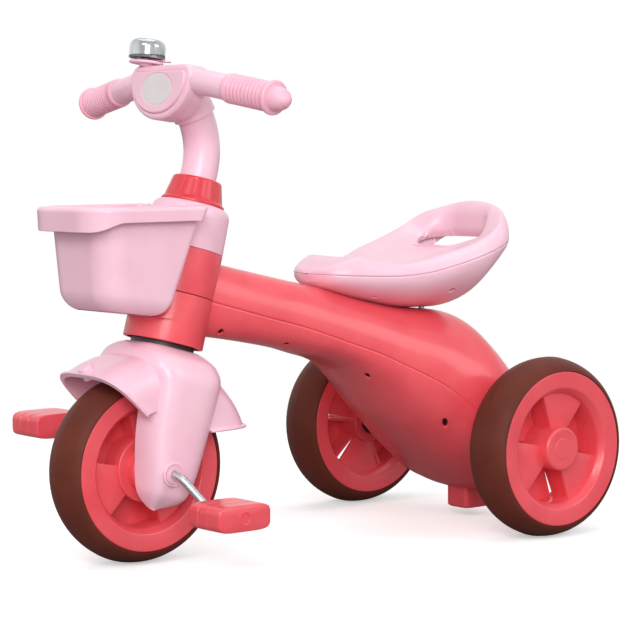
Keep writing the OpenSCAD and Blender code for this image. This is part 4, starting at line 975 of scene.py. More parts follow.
# Screw wells: shares of the spine and of the half width, as in the drawing
SCREW_AT = [[0.115, 0.68], [0.335, 0.66], [0.605, 0.66], [0.81, 0.86]]
WELL_R, WELL_DEEP = 2.9, 7.0


def refined(values, places, half, steps=17):
    """The values with a close run of extra ones around each given place."""
    extra = [np.linspace(p - half, p + half, steps) for p in places]
    out = np.unique(np.round(np.concatenate([values, *extra]), 6))
    return out[(out >= values.min()) & (out <= values.max())]


def sunk_wells(points, wells, inner=0.0):
    """Pushes the skin straight up inside each well: by the well's depth within
    its radius, with a short round lip."""
    out = points.copy()
    for x, y in wells:
        d = np.hypot(np.abs(points[..., 0]) - x, points[..., 1] - y)
        out[..., 2] += WELL_DEEP * smooth_step((WELL_R + inner + 0.45 - d) / 0.9)
    return out


def body_wells():
    """Places of the wells on the shell, and the grid values that pass there."""
    u, share = np.array(SCREW_AT).T
    x = BODY_W / 2 * key_curve(BODY_WIDTH_KEYS, u) * share
    y = spine_y(u) + key_curve(PART_KEYS, u) * lean(u)
    t = np.degrees(np.arccos(share ** (1 / BODY_POWER)))
    z = np.abs(key_curve(BOTTOM_KEYS, u) - key_curve(PART_KEYS, u)) * sin(t) ** BODY_POWER
    grid_u = u + z * lean(u) / (REAR_Y - NECK_Y)
    return list(zip(x, y)), grid_u, t


def body_shell(side):
    """Rows are close together at the round tail, columns at the seam; the lower
    shell's grid is close round the screw wells too."""
    u = BODY_START + (BODY_END - BODY_START) * sin(np.linspace(0, 90, 150))
    q = np.linspace(0, 1, 81)
    t = 180 * (q - 0.13 * sin(360 * q))
    t = np.sort(np.clip(np.concatenate([t, [0.3, 0.7, 179.3, 179.7]]), 0.0, 180.0))
    if side > 0:
        return folded_skin(body_points(u, t, side, 0), body_points(u, t, side, WALL))
    wells, well_u, well_t = body_wells()
    u = refined(u, well_u, 0.0125)
    t = refined(t, np.concatenate([well_t, 180 - well_t]), 6.0)
    return folded_skin(sunk_wells(body_points(u, t, side, 0), wells),
                       sunk_wells(body_points(u, t, side, WALL), wells, WALL))


def head_barrel(h0, h1, low_edge, high_edge):
    """The head tube's outer barrel, with soft outer edges."""
    line = [[HEAD_R - 3.5, h0], [HEAD_R, h0], [HEAD_R, h1], [HEAD_R - 3.5, h1]]
    return placed(lathe_rounded(line, [0.3, low_edge, high_edge, 0.3], 5, 96), on_steering)


def head_sleeve(h0, h1):
    """The head tube's inner sleeve, which holds the bushes."""
    r0, r1 = STEERER_R + 4, STEERER_R + 7
    return placed(lathe([[r0, h0], [r1, h0], [r1, h1], [r0, h1]], 48), on_steering)


FOOT_W, FOOT_L, FOOT_GAP, FOOT_H, FOOT_POWER = 34.0, 46.0, 9.5, 30.0, 0.35
FOOT_Y = REAR_Y + 12 + FOOT_L / 2
HUB_BOSS_X = TRACK_X + HUB_IN - 2


def foot_block():
    """A rounded box under the tail: a superellipse ring drawn in at its base."""
    t = np.linspace(0, 360, 64, endpoint=False)
    rings = []
    for z, g in ((0, 2.2), (0.6, 1), (2.2, 0), (FOOT_H, 0)):
        x = (FOOT_W / 2 - g) * signed_pow(cos(t), FOOT_POWER)
        y = (FOOT_L / 2 - g) * signed_pow(sin(t), FOOT_POWER)
        rings.append(stacked(x, FOOT_Y + y, FOOT_GAP + z))
    return tube_skin(np.array(rings))


def axle_tube():
    """Round bosses on both sides of the body, where the axle comes out."""
    r0, r1, x = ROD_R + 0.1, 10.0, HUB_BOSS_X
    tube = lathe_rounded([[r0, -x], [r1, -x], [r1, x], [r0, x]], [0.1, 1.2, 1.2, 0.1], 5, 48)
    return placed(tube, along_x, moved(0, REAR_Y, AXLE_Z))


def screw_heads(skin, wells):
    """Short studs in the wells, each ending on a plane fitted to the skin round
    its well, 1.2 mm inside it: z = a + b x + c y by least squares."""
    skin = skin.reshape(-1, 3)
    angle = np.linspace(0, 360, 24, endpoint=False)
    studs = []
    for x, y in wells:
        near = skin[np.hypot(skin[:, 0] - x, skin[:, 1] - y) < 5]
        flat = stacked(1.0, near[:, 0], near[:, 1])
        plane = np.linalg.lstsq(flat, near[:, 2], rcond=None)[0]
        rings = []
        for r, up in ((0.05, 1.5), (1.0, 1.5), (1.2, 1.1), (SCREW_R, 1.2), (SCREW_R, 6.0)):
            px, py = x + r * cos(angle), y + r * sin(angle)
            rings.append(stacked(px, py, plane[0] + plane[1] * px + plane[2] * py + up))
        studs.append(tube_skin(np.array(rings)))
        studs.append((flip_x(studs[-1][0]), [f[::-1] for f in studs[-1][1]]))
    return joined(*studs)


SCREW_R = 2.1
lower_skin = body_points(np.linspace(BODY_START, BODY_END, 400), np.linspace(2, 178, 260), -1, 0)
# the screw heads' dark coral colour is painted shade of their wells and painted coral reflection
add_piece("body_screw_heads", screw_heads(lower_skin, body_wells()[0]), SCREW_PAINTED_WELL_SHADE, "frame")
upper_parts = joined(body_shell(1), head_barrel(PART_H + 0.35, HEAD_H1, 0.5, 1.0),
                     head_sleeve(PART_H + 1, HEAD_H1))
add_piece("body_upper_shell", upper_parts, CORAL_PP, "frame", ["body_upper"], angle=35)
lower_parts = joined(body_shell(-1), head_barrel(HEAD_H0, PART_H - 0.35, 1.0, 0.5),
                     head_sleeve(HEAD_H0, PART_H - 1), foot_block(), axle_tube())
add_piece("body_lower_shell", lower_parts, CORAL_PP, "frame", ["body_lower"], angle=35)

# %% [markdown]
# Saddle. Two pink shells: a dished top with a raised rear and a rolled rim, and
# a hull-shaped underside. A hand hole goes through the raised rear. Instead of
# cutting it, the skin is drawn down into it: a point nearer to the slot's
# outline than the fillet radius sinks along a quarter circle, and a point
# inside the outline moves out to it and down its wall, until the seam stops it.

# %% Saddle shells
SEAT_L, SEAT_W, SEAT_RISE = 235.5, 180.0, 106.5
NOSE_Y = REAR_Y + 50 - SEAT_L
SEAT_WIDTH_KEYS = [[0, 0.02], [0.008, 0.17], [0.02, 0.28], [0.045, 0.385], [0.08, 0.455], [0.12, 0.51],
                   [0.2, 0.6], [0.33, 0.73], [0.45, 0.87], [0.58, 0.98], [0.7, 1], [0.8, 0.945], [0.88, 0.809],
                   [0.94, 0.607], [0.975, 0.441], [0.992, 0.262], [1, 0.03]]
SEAT_PART_KEYS = [[0, 38.5], [0.15, 36.4], [0.3, 35.6], [0.42, 38.7], [0.53, 45.3], [0.66, 53.7], [0.82, 64],
                  [0.92, 69.8], [1, 71]]
SEAT_CREST_KEYS = [[0, 0.6], [0.012, 4.3], [0.045, 9.3], [0.09, 16.2], [0.15, 22.6], [0.22, 18.7],
                   [0.32, 14.7], [0.42, 14.8], [0.55, 15.5], [0.69, 16.7], [0.81, SEAT_RISE - 82.3],
                   [0.9, SEAT_RISE - 65.5], [0.955, SEAT_RISE - 62.5], [0.985, SEAT_RISE - 83], [1, 0.6]]
SEAT_DISH_KEYS = [[0, 0], [0.07, 1], [0.13, 4], [0.2, 6], [0.35, 6.5], [0.55, 9.5], [0.63, 11.2], [0.7, 13],
                  [0.75, 14.5], [0.82, 21], [0.92, 14], [1, 0]]
SEAT_FLOOR_KEYS = [[0, 38], [0.012, 30], [0.05, 23], [0.15, 14.9], [0.28, 7.6], [0.42, 1.1], [0.58, -1.3],
                   [0.7, 0.5], [0.76, 13.6], [0.83, 34.2], [0.9, 53.5], [0.96, 65], [1, 71]]
SEAT_EDGE_KEYS = [[0, 5], [0.8, 5], [0.87, 4], [0.93, 2.4], [1, 2.2]]
DISH_POWER, DISH_WIDE, SEAT_POWER = 3, 0.86, 0.7
SEAT_TUCK, TUCK_S, TUCK_H = 8.0, 0.84, 12.0
HOLE_R, HOLE_DX, HOLE_S = 23.0, 19.0, 0.8235
HOLE_Y = NOSE_Y + SEAT_L * HOLE_S
HOLE_FLARE = 5.0


def tuck(s):
    """How far the seam runs inside the rear rim, which rolls over it."""
    return SEAT_TUCK * np.maximum(0, (s - TUCK_S) / (1 - TUCK_S)) ** 1.5


def seat_top_points(s, t, deep):
    """s along the saddle, t across it. Height = seam + (crest - dish d) e, with
    e = sqrt(1 - |x/w|^n) and d = 1 - |x / 0.86 w|^3 across the middle."""
    s = s[:, None]
    w = SEAT_W / 2 * key_curve(SEAT_WIDTH_KEYS, s)
    soft = np.minimum(1, w / 14)
    wi = w - deep * soft
    x = wi * signed_pow(cos(t), SEAT_POWER)[None]
    rise = key_curve(SEAT_CREST_KEYS, s) - deep * soft
    dish = key_curve(SEAT_DISH_KEYS, s) * np.maximum(0, 1 - (np.abs(x) / w / DISH_WIDE) ** DISH_POWER)
    edge = np.sqrt(np.maximum(0, 1 - np.minimum(1, np.abs(x) / wi) ** key_curve(SEAT_EDGE_KEYS, s)))
    up = (rise - dish) * edge
    y = NOSE_Y + SEAT_L * s + (0.5 - s) * deep * 1.6 - tuck(s) * (1 - np.clip(up / TUCK_H, 0, 1))
    seam = SEAT_Z + key_curve(SEAT_PART_KEYS, s)
    z = seam + SKIN_GAP / 2 + up
    turn_in = np.clip(1 - (z - seam) / 1.5, 0, 1) ** 2 * SEAT_TURN_IN * soft * (deep == 0)
    stop = seam + SKIN_GAP / 2
    return stacked(x * (1 - turn_in / wi), y, np.maximum(z, stop)), stop


def floor_power(s):
    return 0.9 + 0.3 * s


def seat_floor_points(s, t, deep):
    """The underside: x = w cos^p t and z = seam - h sin^p t, with p rising to
    the rear, which makes the hull rounder there."""
    s = s[:, None]
    w = SEAT_W / 2 * key_curve(SEAT_WIDTH_KEYS, s) - SKIN_GAP
    soft = np.minimum(1, w / 14)
    wi = w - deep * soft
    seam = SEAT_Z + key_curve(SEAT_PART_KEYS, s) - SKIN_GAP / 2
    h = key_curve(SEAT_PART_KEYS, s) - SKIN_GAP / 2 - key_curve(SEAT_FLOOR_KEYS, s) - deep * soft
    p = floor_power(s)
    x = wi * signed_pow(cos(t)[None], p)
    z = seam - h * np.abs(sin(t))[None] ** p
    turn_in = np.clip(1 - (seam - z) / 1.5, 0, 1) ** 2 * SEAT_TURN_IN * soft * (deep == 0)
    y = NOSE_Y + SEAT_L * s + (0.5 - s) * deep * 1.6 - tuck(s)
    return stacked(x * (1 - turn_in / wi), y, z), seam


def drawn_into_hole(points, stop, down, fillet, radius):
    """Draws the skin into the slot. d is the distance from the slot's outline,
    negative inside. Outside, the drop is R - sqrt(R^2 - (R - d)^2); inside, the
    point goes to the outline and sinks by R + 1.6 |d|. stop is the seam, and
    the fillet radius R shrinks where the skin is close to it."""
    x, y, z = np.moveaxis(points, -1, 0)
    vx, vy = x - np.clip(x, -HOLE_DX, HOLE_DX), y - HOLE_Y
    far = np.maximum(np.hypot(vx, vy), 1e-6)
    d = far - radius
    fillet = np.minimum(fillet, 0.75 * np.abs(z - stop) + 0.2)
    near = np.clip(d, 0, fillet)
    drop = fillet - np.sqrt(np.maximum(0, fillet**2 - (fillet - near) ** 2)) + 1.6 * np.maximum(0, -d)
    scale = np.where(d < 0, radius / far, 1)
    nx, ny = np.clip(x, -HOLE_DX, HOLE_DX) + vx * scale, HOLE_Y + vy * scale
    way = 1 if down else -1
    left = np.maximum(way * (z - stop) - drop, 0)
    return stacked(nx, ny, stop + way * left), (left == 0) & (d < 0)


SEAT_SCREW_AT = [[0.25, 0.58], [0.56, 0.78]]


def seat_wells():
    """Places of the wells, and the angles t at which the underside passes them:
    |cos t|^p = share."""
    s, share = np.array(SEAT_SCREW_AT).T
    x, y = SEAT_W / 2 * key_curve(SEAT_WIDTH_KEYS, s) * share, NOSE_Y + SEAT_L * s
    a = np.degrees(np.arccos(share ** (1 / floor_power(s))))
    return list(zip(x, y)), s, np.concatenate([a, 180 - a])


def seat_shell(point_rule, down):
    """Outer and inner skin on one grid, both drawn into the hole; the faces that
    have come to rest on the seam are left out, and rims join the two skins."""
    s = (1 - cos(np.linspace(0, 180, 170))) / 2
    t = np.linspace(0, 180, 121)
    wells, well_s, well_t = seat_wells()
    if not down:
        s, t = refined(s, well_s, 0.02), refined(t, well_t, 5.0)
    outer, stop = point_rule(s, np.clip(t, 0.02, 179.98), 0)
    inner, stop_in = point_rule(s, np.clip(t, 0.02, 179.98), WALL)
    if not down:
        outer, inner = sunk_wells(outer, wells), sunk_wells(inner, wells, WALL)
    wide = 0 if down else HOLE_FLARE
    outer, gone = drawn_into_hole(outer, stop, down, 5.5 + wide / 2, HOLE_R + wide)
    inner, gone_in = drawn_into_hole(inner, stop_in, down, 2.5 + wide / 2, HOLE_R + wide + WALL)
    rows, cols = gone.shape
    quads = grid_faces(rows, cols, wrap_cols=False)
    dead = gone.reshape(-1)[quads].all(1) | gone_in.reshape(-1)[quads].all(1)
    quads = quads[~dead]
    edges = np.concatenate([quads[:, [k, (k + 1) % 4]] for k in range(4)])
    keys = edges[:, 0].astype(np.int64) * rows * cols + edges[:, 1]
    twins = edges[:, 1].astype(np.int64) * rows * cols + edges[:, 0]
    rim = edges[~np.isin(keys, twins)]
    n = rows * cols
    walls = stacked(rim[:, 1], rim[:, 0], rim[:, 0] + n, rim[:, 1] + n)
    return np.vstack([outer.reshape(-1, 3), inner.reshape(-1, 3)]), listed(quads, quads[:, ::-1] + n, walls)


add_piece("saddle_top_shell", seat_shell(seat_top_points, True), PINK_PP, "frame",
          ["seat_top"], angle=50, merge=0.02)
add_piece("saddle_lower_shell", seat_shell(seat_floor_points, False), PINK_PP, "frame",
          ["seat_bottom"], angle=50, merge=0.02)
floor_skin = seat_floor_points(np.linspace(0.02, 0.98, 300), np.linspace(2, 178, 260), 0)[0]
add_piece("saddle_screw_heads", screw_heads(floor_skin, seat_wells()[0]), PINK_SHADE, "frame")

# %% [markdown]
# Basket. A deep pink tub that hangs in front of the head tube and wraps round
# its bracket. One line goes round it at every height: straight sides, large
# round front corners and tight rear ones. The grid's rows run up the outside
# from the floor, out under the rim, down and up its skirt, over the top and
# down the inside to the floor again, so the tub is one closed skin. The floor
# climbs towards the front, and the skirt drops lower there in a soft step.

# %% Basket outline
BASKET_W, BASKET_L, BASKET_H = 107.0, 113.0, 104.0
BASKET_WALL, RIM_OVER, BAND_H = 2.4, 10.0, 14.0
BASKET_Z1 = AXLE_Z + BRACKET_H1 * cos(RAKE) + 1
BASKET_Z0 = BASKET_Z1 - BASKET_H
GAP_TOP, GAP_LOW, FLOOR_RISE = 23.0, 32.0, 15.0
DROOP, DROP_FROM, DROP_TO = 8.5, -9.0, 19.0
WRAP_R = HEAD_R + 2.5
FRONT_CORNER, REAR_CORNER, SLOPE_H = 26.0, 7.0, 18.0


def basket_share(z):
    return (z - BASKET_Z0) / BASKET_H


def axis_y(z):
    """Where the steering axis is at a height."""
    return FRONT_Y + (z - AXLE_Z) * np.tan(np.radians(RAKE))


def basket_rear(z):
    """The rear wall follows the leaning steering axis at a small distance."""
    return axis_y(z) - GAP_LOW + (GAP_LOW - GAP_TOP) * basket_share(z)


def basket_line(z, grow, back, wrap):
    """Points round the tub for each row: arcs r cos t, r sin t at the four
    corners with straight runs between them. Points that would enter the wrap
    cylinder about the steering axis move forward onto it, softly."""
    z, grow, back, wrap = (np.asarray(v, float)[:, None] for v in (z, grow, back, wrap))
    a = BASKET_W / 2 * (0.89 + 0.11 * basket_share(z)) + grow
    y0 = basket_rear(BASKET_Z1) - BASKET_L + 6 * (1 - basket_share(z)) - grow * np.where(grow > 0, 1.4, 1)
    y1 = basket_rear(z) + back
    rf = np.minimum(FRONT_CORNER + grow, a - 2)
    rr = np.maximum(3, REAR_CORNER + np.minimum(grow, back))

    def corner(cx, cy, r, t0, steps):
        t = np.linspace(t0, t0 + 90, steps)[None]
        return arc(cx, cy, r, r, t)

    def run(p, q, steps):
        k = np.linspace(0, 1, steps + 2)[None, 1:-1, None]
        return p[:, -1:] * (1 - k) + q[:, :1] * k

    c = [corner(a - rr, y1 - rr, rr, 0, 9), corner(-a + rr, y1 - rr, rr, 90, 9),
         corner(-a + rf, y0 + rf, rf, 180, 28), corner(a - rf, y0 + rf, rf, 270, 28)]
    p = np.concatenate([c[0], run(c[0], c[1], 90), c[1], run(c[1], c[2], 40), c[2],
                        run(c[2], c[3], 24), c[3], run(c[3], c[0], 40)], 1)
    x, y = p[..., 0], p[..., 1]
    limit = axis_y(z) - np.sqrt(np.maximum(0, wrap**2 - x**2)) / cos(RAKE)
    soft = np.clip(0.5 + 0.5 * (y - limit) / 1.5, 0, 1)
    moved_y = y * (1 - soft) + limit * soft - 1.5 * soft * (1 - soft)
    return x, np.where(np.abs(x) < wrap, moved_y, y)


# the columns of the grid along the rear wall, where the rim has no deep skirt
REAR_COLUMNS = slice(7, 110)


def basket_skin():
    theta = np.linspace(0, 90, 14)
    foot_up, foot_in = SLOPE_H * (1 - cos(theta)), 17 * (1 - sin(theta))
    wall_z = np.linspace(SLOPE_H + 4, BASKET_H - BAND_H - 1, 20)
    top, w, out = BASKET_H, BASKET_WALL, RIM_OVER

    def fade(k):
        return np.clip((top - k) / (top - SLOPE_H), 0, 1)

    # rows as (height over the floor, grow, back, wrap radius, share of the floor's slope)
    rows = [(k, -i, -0.8 * i, WRAP_R, 1) for k, i in zip(foot_up, foot_in)]
    rows += [(k, 0, 0, WRAP_R, fade(k)) for k in wall_z]
    under = [(top - w - 0.9, 0), (top - w, 0.9), (top - w, out - w - 1.2), (top - w - 1, out - w)]
    skirt = len(rows) + len(under)
    under += [(top - w - 1.5, out - w), (0, out - w), (0, out - w + 0.5), (0, out - 0.5), (0, out),
              (top - w - 2.2, out)]
    rows += [(k, grow, 0, WRAP_R, 0) for k, grow in under]
    rows += [(top - 4 + 4 * sin(b), out - 4 + 4 * cos(b), -1.5 * (1 - cos(b)), WRAP_R, 0)
             for b in np.linspace(8, 90, 9)]
    rows += [(top, 2.2, -1.5, WRAP_R + 1.5, 0), (top, 0.2 - w * 0.3, -2, WRAP_R + 1.5, 0),
             (top - 0.5, -w * 0.75, -w, WRAP_R + w * 0.8, 0), (top - 1.4, -w, -w, WRAP_R + w, 0)]
    rows += [(k, -w, -w, WRAP_R + w, fade(k)) for k in wall_z[::-1]]
    rows += [(k + w, -i - w, -0.8 * i - w, WRAP_R + w, 1) for k, i in zip(foot_up[::-1], foot_in[::-1])]
    k, grow, back, wrap, slope = (np.array(v, float) for v in zip(*rows))
    x, y = basket_line(np.where(k == 0, BASKET_Z1 - BAND_H, BASKET_Z0 + k), grow, back, wrap)
    z = BASKET_Z0 + k[:, None] + FLOOR_RISE * slope[:, None] * (basket_rear(BASKET_Z0) - y) / BASKET_L
    edge_y = y[skirt + 3]
    front_y = basket_rear(BASKET_Z1) - BASKET_L
    low = BASKET_Z1 - BAND_H - DROOP * (1 - smooth_step((edge_y - front_y - DROP_FROM) / (DROP_TO - DROP_FROM)))
    low[REAR_COLUMNS] = BASKET_Z1 - BASKET_WALL - 1.8
    for row, lift in ((skirt + 1, 0.5), (skirt + 2, 0), (skirt + 3, 0), (skirt + 4, 0.5)):
        z[row] = low + lift
    rings = stacked(x, y, z)

    def to_middle(ring):
        shares = np.array([0.35, 0.7])[:, None, None]
        return ring.mean(0) * (1 - shares) + ring[None] * shares

    return tube_skin(np.concatenate([to_middle(rings[0]), rings, to_middle(rings[-1])[::-1]]))


add_piece("front_basket", basket_skin(), PINK_PP, "steering", ["basket"], angle=38, merge=0.01)

# %% [markdown]
# Bracket and lock collar. The bracket is a pink sleeve on the steerer, above
# the head tube, with a soft shoulder, and it turns with the fork. On it stands
# the coral lock collar, a cone with a flat lip below and shallow flutes down
# its side, which grips the foot of the stem.

# %% Bracket and lock collar
PAD_W, PAD_H, PAD_L = 36.0, 12.0, 22.0


def bracket_skin():
    """The turned sleeve and, on its front, the curved pad that carries the basket."""
    h = BRACKET_H1 - HEAD_H1 - SKIN_GAP
    line = [[STEERER_R, 0], [HEAD_R, 0], [HEAD_R - 1, h - 7.7], [HEAD_R - 3, h - 2.7],
            [HEAD_R - 7, h], [STEERER_R, h]]
    sleeve = placed(lathe_rounded(line, [0.2, 0.8, 4, 3, 2.5, 0.2], 7, 120), moved(0, 0, HEAD_H1 + SKIN_GAP))
    half = np.degrees(np.arcsin(PAD_W / 2 / WRAP_R))
    a = np.linspace(-90 - half, -90 + half, 25)
    r_in, r_out = HEAD_R - 2, WRAP_R - SKIN_GAP
    section = [(r_in, 0), (r_out - 0.8, 0), (r_out, 0.8), (r_out, PAD_L - 0.8),
               (r_out - 0.8, PAD_L), (r_in, PAD_L)]
    rings = np.array([[[r * cos(t), r * sin(t), HEAD_H1 + PAD_H + z] for r, z in section] for t in a])
    return joined(sleeve, tube_skin(rings))


def collar_skin(flutes=14, flute_deep=0.6, around=280):
    """r = profile radius less 0.6 (1 - |cos(n a / 2)|^0.7) in each flute, faded
    out at the lip below and at the top edge."""
    h = COLLAR_H1 - BRACKET_H1
    foot, brow = [STEM_R + 10.8, 4], [STEM_R + 6.2, h - 1.5]
    line = rounded([[STEM_R, 0], [STEM_R + 13, 0], [STEM_R + 13, 2.5], foot, brow,
                    [STEM_R + 4.8, h], [STEM_R, h]], [0.1, 0.9, 0.9, 1.2, 1.4, 0.8, 0.1], 6)
    # the long slope gets ten more rows, in which the flutes can run
    up = np.linspace(0, 1, 12)[1:-1, None]
    outer = int(np.argmin(np.hypot(*(line - brow).T)))
    lower = int(np.argmin(np.hypot(*(line - foot).T))) + 2
    line = np.vstack([line[:lower + 1], line[lower] * (1 - up) + line[outer - 2] * up, line[outer - 2:]])
    a = np.linspace(0, 360, around, endpoint=False)
    depth = smooth_step((line[:, 1] - 4.6) / 1.5) * smooth_step((h - 1.2 - line[:, 1]) / 1.5)
    depth = depth * (line[:, 0] > STEM_R + 2)
    r = line[:, :1] - flute_deep * depth[:, None] * (1 - np.abs(cos(flutes * a / 2)) ** 0.7)[None]
    return ring_skin(stacked(r * cos(a), r * sin(a), line[:, 1:2]))


add_piece("basket_bracket_sleeve", placed(bracket_skin(), on_steering), PINK_PP, "steering",
          ["basket_bracket"], angle=35)
add_piece("stem_lock_collar", placed(collar_skin(), moved(0, 0, BRACKET_H1), on_steering), COLLAR_PP,
          "steering", ["lock_collar"], angle=35)

# %% [markdown]
# Stem. A pink tube that stands on the steerer, runs up the steering axis and
# bends forward on a circle into the console.

# %% Stem
def stem_bend(a):
    """Points round the bend at angles a: y = -R (1 - cos a), z = h + R sin a."""
    return stacked(0, -STEM_BEND_R * (1 - cos(a)), STEM_H0 + STEM_BEND_R * sin(a))


def stem_path(h0, last_angle):
    """Points up the axis, then round the bend."""
    h = np.linspace(h0, STEM_H0, 6, endpoint=False)
    return np.vstack([stacked(0, 0, h), stem_bend(np.linspace(0, last_angle, 40))])


def hollow_pipe(path, r_out, r_in, around=64):
    """A tube whose rings lie in planes square to a path that bends only in y, z."""
    along = np.gradient(path, axis=0)
    along /= np.linalg.norm(along, axis=1)[:, None]
    level = np.array([1.0, 0, 0])
    up = np.cross(along, level)
    a = np.linspace(0, 360, around, endpoint=False)
    ring = level * cos(a)[None, :, None] + up[:, None] * sin(a)[None, :, None]
    return ring_skin(np.concatenate([path[:, None] + r_out * ring, (path[:, None] + r_in * ring)[::-1]]))


STEM_TURN = RAKE + STEM_LEAN
stem_line = stem_path(BRACKET_H1 + 0.2, STEM_TURN)
add_piece("curved_stem", placed(hollow_pipe(stem_line, STEM_R, STEERER_R + 0.1), on_steering), PINK_PP,
          "steering", ["stem"], angle=50)

# %% [markdown]
# Console. A casing in two halves whose outline is flat on top with soft
# shoulders and a full half circle below. The front half has a rolled edge and a
# raised plate, on which a plain oval place is sunk a little for a thin plate
# that is left bare. The back half has the sleeve that takes the stem. Rows are
# rings of the outline, drawn in step by step from the seam to the middle.

# %% Console outline and front
CONSOLE_W, CONSOLE_LOW, CONSOLE_CORNER, CONSOLE_D = 99.0, 39.5, 12.0, 13.0
BADGE_X, BADGE_Z, BADGE_R, BADGE_WIDE = 0.0, -10.5, 16.0, 1.6


def console_line(grow, n=48):
    """The outline drawn in by grow: two corner arcs, the top and a half ellipse."""
    w, top, low = CONSOLE_W / 2 - grow, CONSOLE_TOP - grow, CONSOLE_LOW - grow
    c = max(CONSOLE_CORNER - grow, 1.0)
    t = np.linspace(0, 90, n // 3)
    right = arc(w - c, top - c, c, c, t)
    left = arc(-w + c, top - c, c, c, t + 90)
    k = np.linspace(0, 1, n // 2 + 2)[1:-1, None]
    below = arc(0, top - c, w, low + top - c, np.linspace(180, 360, 3 * n)[1:-1])
    return np.vstack([right, right[-1] * (1 - k) + left[0] * k, left, below])


def console_rows(rows):
    """Rings at (grow, depth) rows: x and z from the outline, y the depth."""
    lines = [(console_line(grow), y) for grow, y in rows]
    return [stacked(line[:, 0], y, line[:, 1]) for line, y in lines]


def shrink_rows(ring, centre, shares):
    """Rings between a given one and an oval of the plate's size."""
    v = ring[:, [0, 2]] - np.array(centre)
    flat = np.array(centre) + v / np.hypot(v[:, 0] / BADGE_WIDE, v[:, 1])[:, None] * BADGE_R
    oval = stacked(flat[:, 0], ring[:, 1], flat[:, 1])
    return [ring * (1 - share) + oval * share for share in shares]


def scaled_ring(ring, centre, scale, y):
    """A ring drawn in towards a centre by a scale, at the depth y."""
    c = np.array([centre[0], 0, centre[1]])
    out = c + (ring - c) * scale
    out[:, 1] = y
    return out


def console_front_skin():
    """From the seam over the rolled edge to the raised plate and its sunk oval."""
    d = CONSOLE_D
    step = d - 2.5
    rows = [(1.5, -0.15), (0.45, -0.15), (0, -0.6), (0, -step + 3.4)]
    rows += [(3.4 * (1 - cos(b)), -step + 3.4 - 3.4 * sin(b)) for b in np.linspace(15, 90, 7)]
    rows += [(5.2, -step), (5.7, -step + 0.5), (6.0, -step + 0.5), (6.1, -step - 1.0)]
    rows += [(6.1 + 1.5 * (1 - cos(b)), -d + 1.5 - 1.5 * sin(b)) for b in np.linspace(10, 90, 6)]
    rings = console_rows(rows)
    rings += shrink_rows(rings[-1], (BADGE_X, BADGE_Z), np.linspace(0.15, 1, 12))
    sunk = ((0.985, 0.12), (0.965, 0.35), (0.93, 0.4), (0.6, 0.4), (0.25, 0.4))
    rings += [scaled_ring(rings[-1], (BADGE_X, BADGE_Z), scale, deep - d) for scale, deep in sunk]
    return tube_skin(np.array(rings))


def console_back_skin():
    """From the seam over the round edge to the flat back, and the stem's sleeve."""
    d = CONSOLE_D
    rows = [(1.5, 0.15), (0.45, 0.15), (0, 0.6), (0, d - 4)]
    rows += [(4 * (1 - cos(b)), d - 4 + 4 * sin(b)) for b in np.linspace(12, 90, 8)]
    rows += [(9, d), (14, d)]
    rings = console_rows(rows)
    rings += [scaled_ring(rings[-1], (0, -12), s, d) for s in (0.7, 0.4, 0.15)]
    casing = placed(tube_skin(np.array(rings)), on_console)
    line = stem_bend(np.linspace(STEM_TURN - 24, STEM_TURN + 2, 24))
    sleeve = placed(hollow_pipe(line, STEM_R + 3, STEM_R + 0.1), on_steering)
    return joined(casing, sleeve)


add_piece("console_front_half", placed(console_front_skin(), on_console), PINK_PP, "steering",
          ["console_front"], angle=35)
# the bare oval plate in the sunk place: a thin pale disc with a soft edge
plate_r = BADGE_R * 0.925
plate = lathe_rounded([[0.05, -0.1], [plate_r, -0.1], [plate_r, 0.3], [0.05, 0.3]], [0, 0.1, 0.25, 0], 5, 96)
plate = placed(plate, turned(0, 90), stretched(BADGE_WIDE, 1, 1), moved(BADGE_X, 0.35 - CONSOLE_D, BADGE_Z))
add_piece("console_oval_plate", placed(plate, on_console), PALE_PLATE, "steering", ["console_front"])
add_piece("console_back_half", console_back_skin(), PINK_PP, "steering",
          ["console_back"], angle=35)

# %% [markdown]
# Bars and grips. Each bar is a smooth pink tube. The grip pushed over it is a
# softer, duller moulding: a smooth swollen collar at its start, ten round ribs
# with narrow valleys between them, a flange and a domed end with a sunk ring.

# %% Bars and grips
BAR_R, BAR_SPAN = 12.0, 336.0
GRIP_R, GRIP_L, GRIP_RIBS, RIB_DEEP = 14.0, 62.0, 10, 1.9
KNOB_L, FLANGE_T = 18.0, 4.0
BAR_L = (BAR_SPAN / 2 - BAR_X0) / cos(BAR_DROP) / cos(BAR_SWEEP)
GRIP_H0 = BAR_L - KNOB_L - GRIP_L


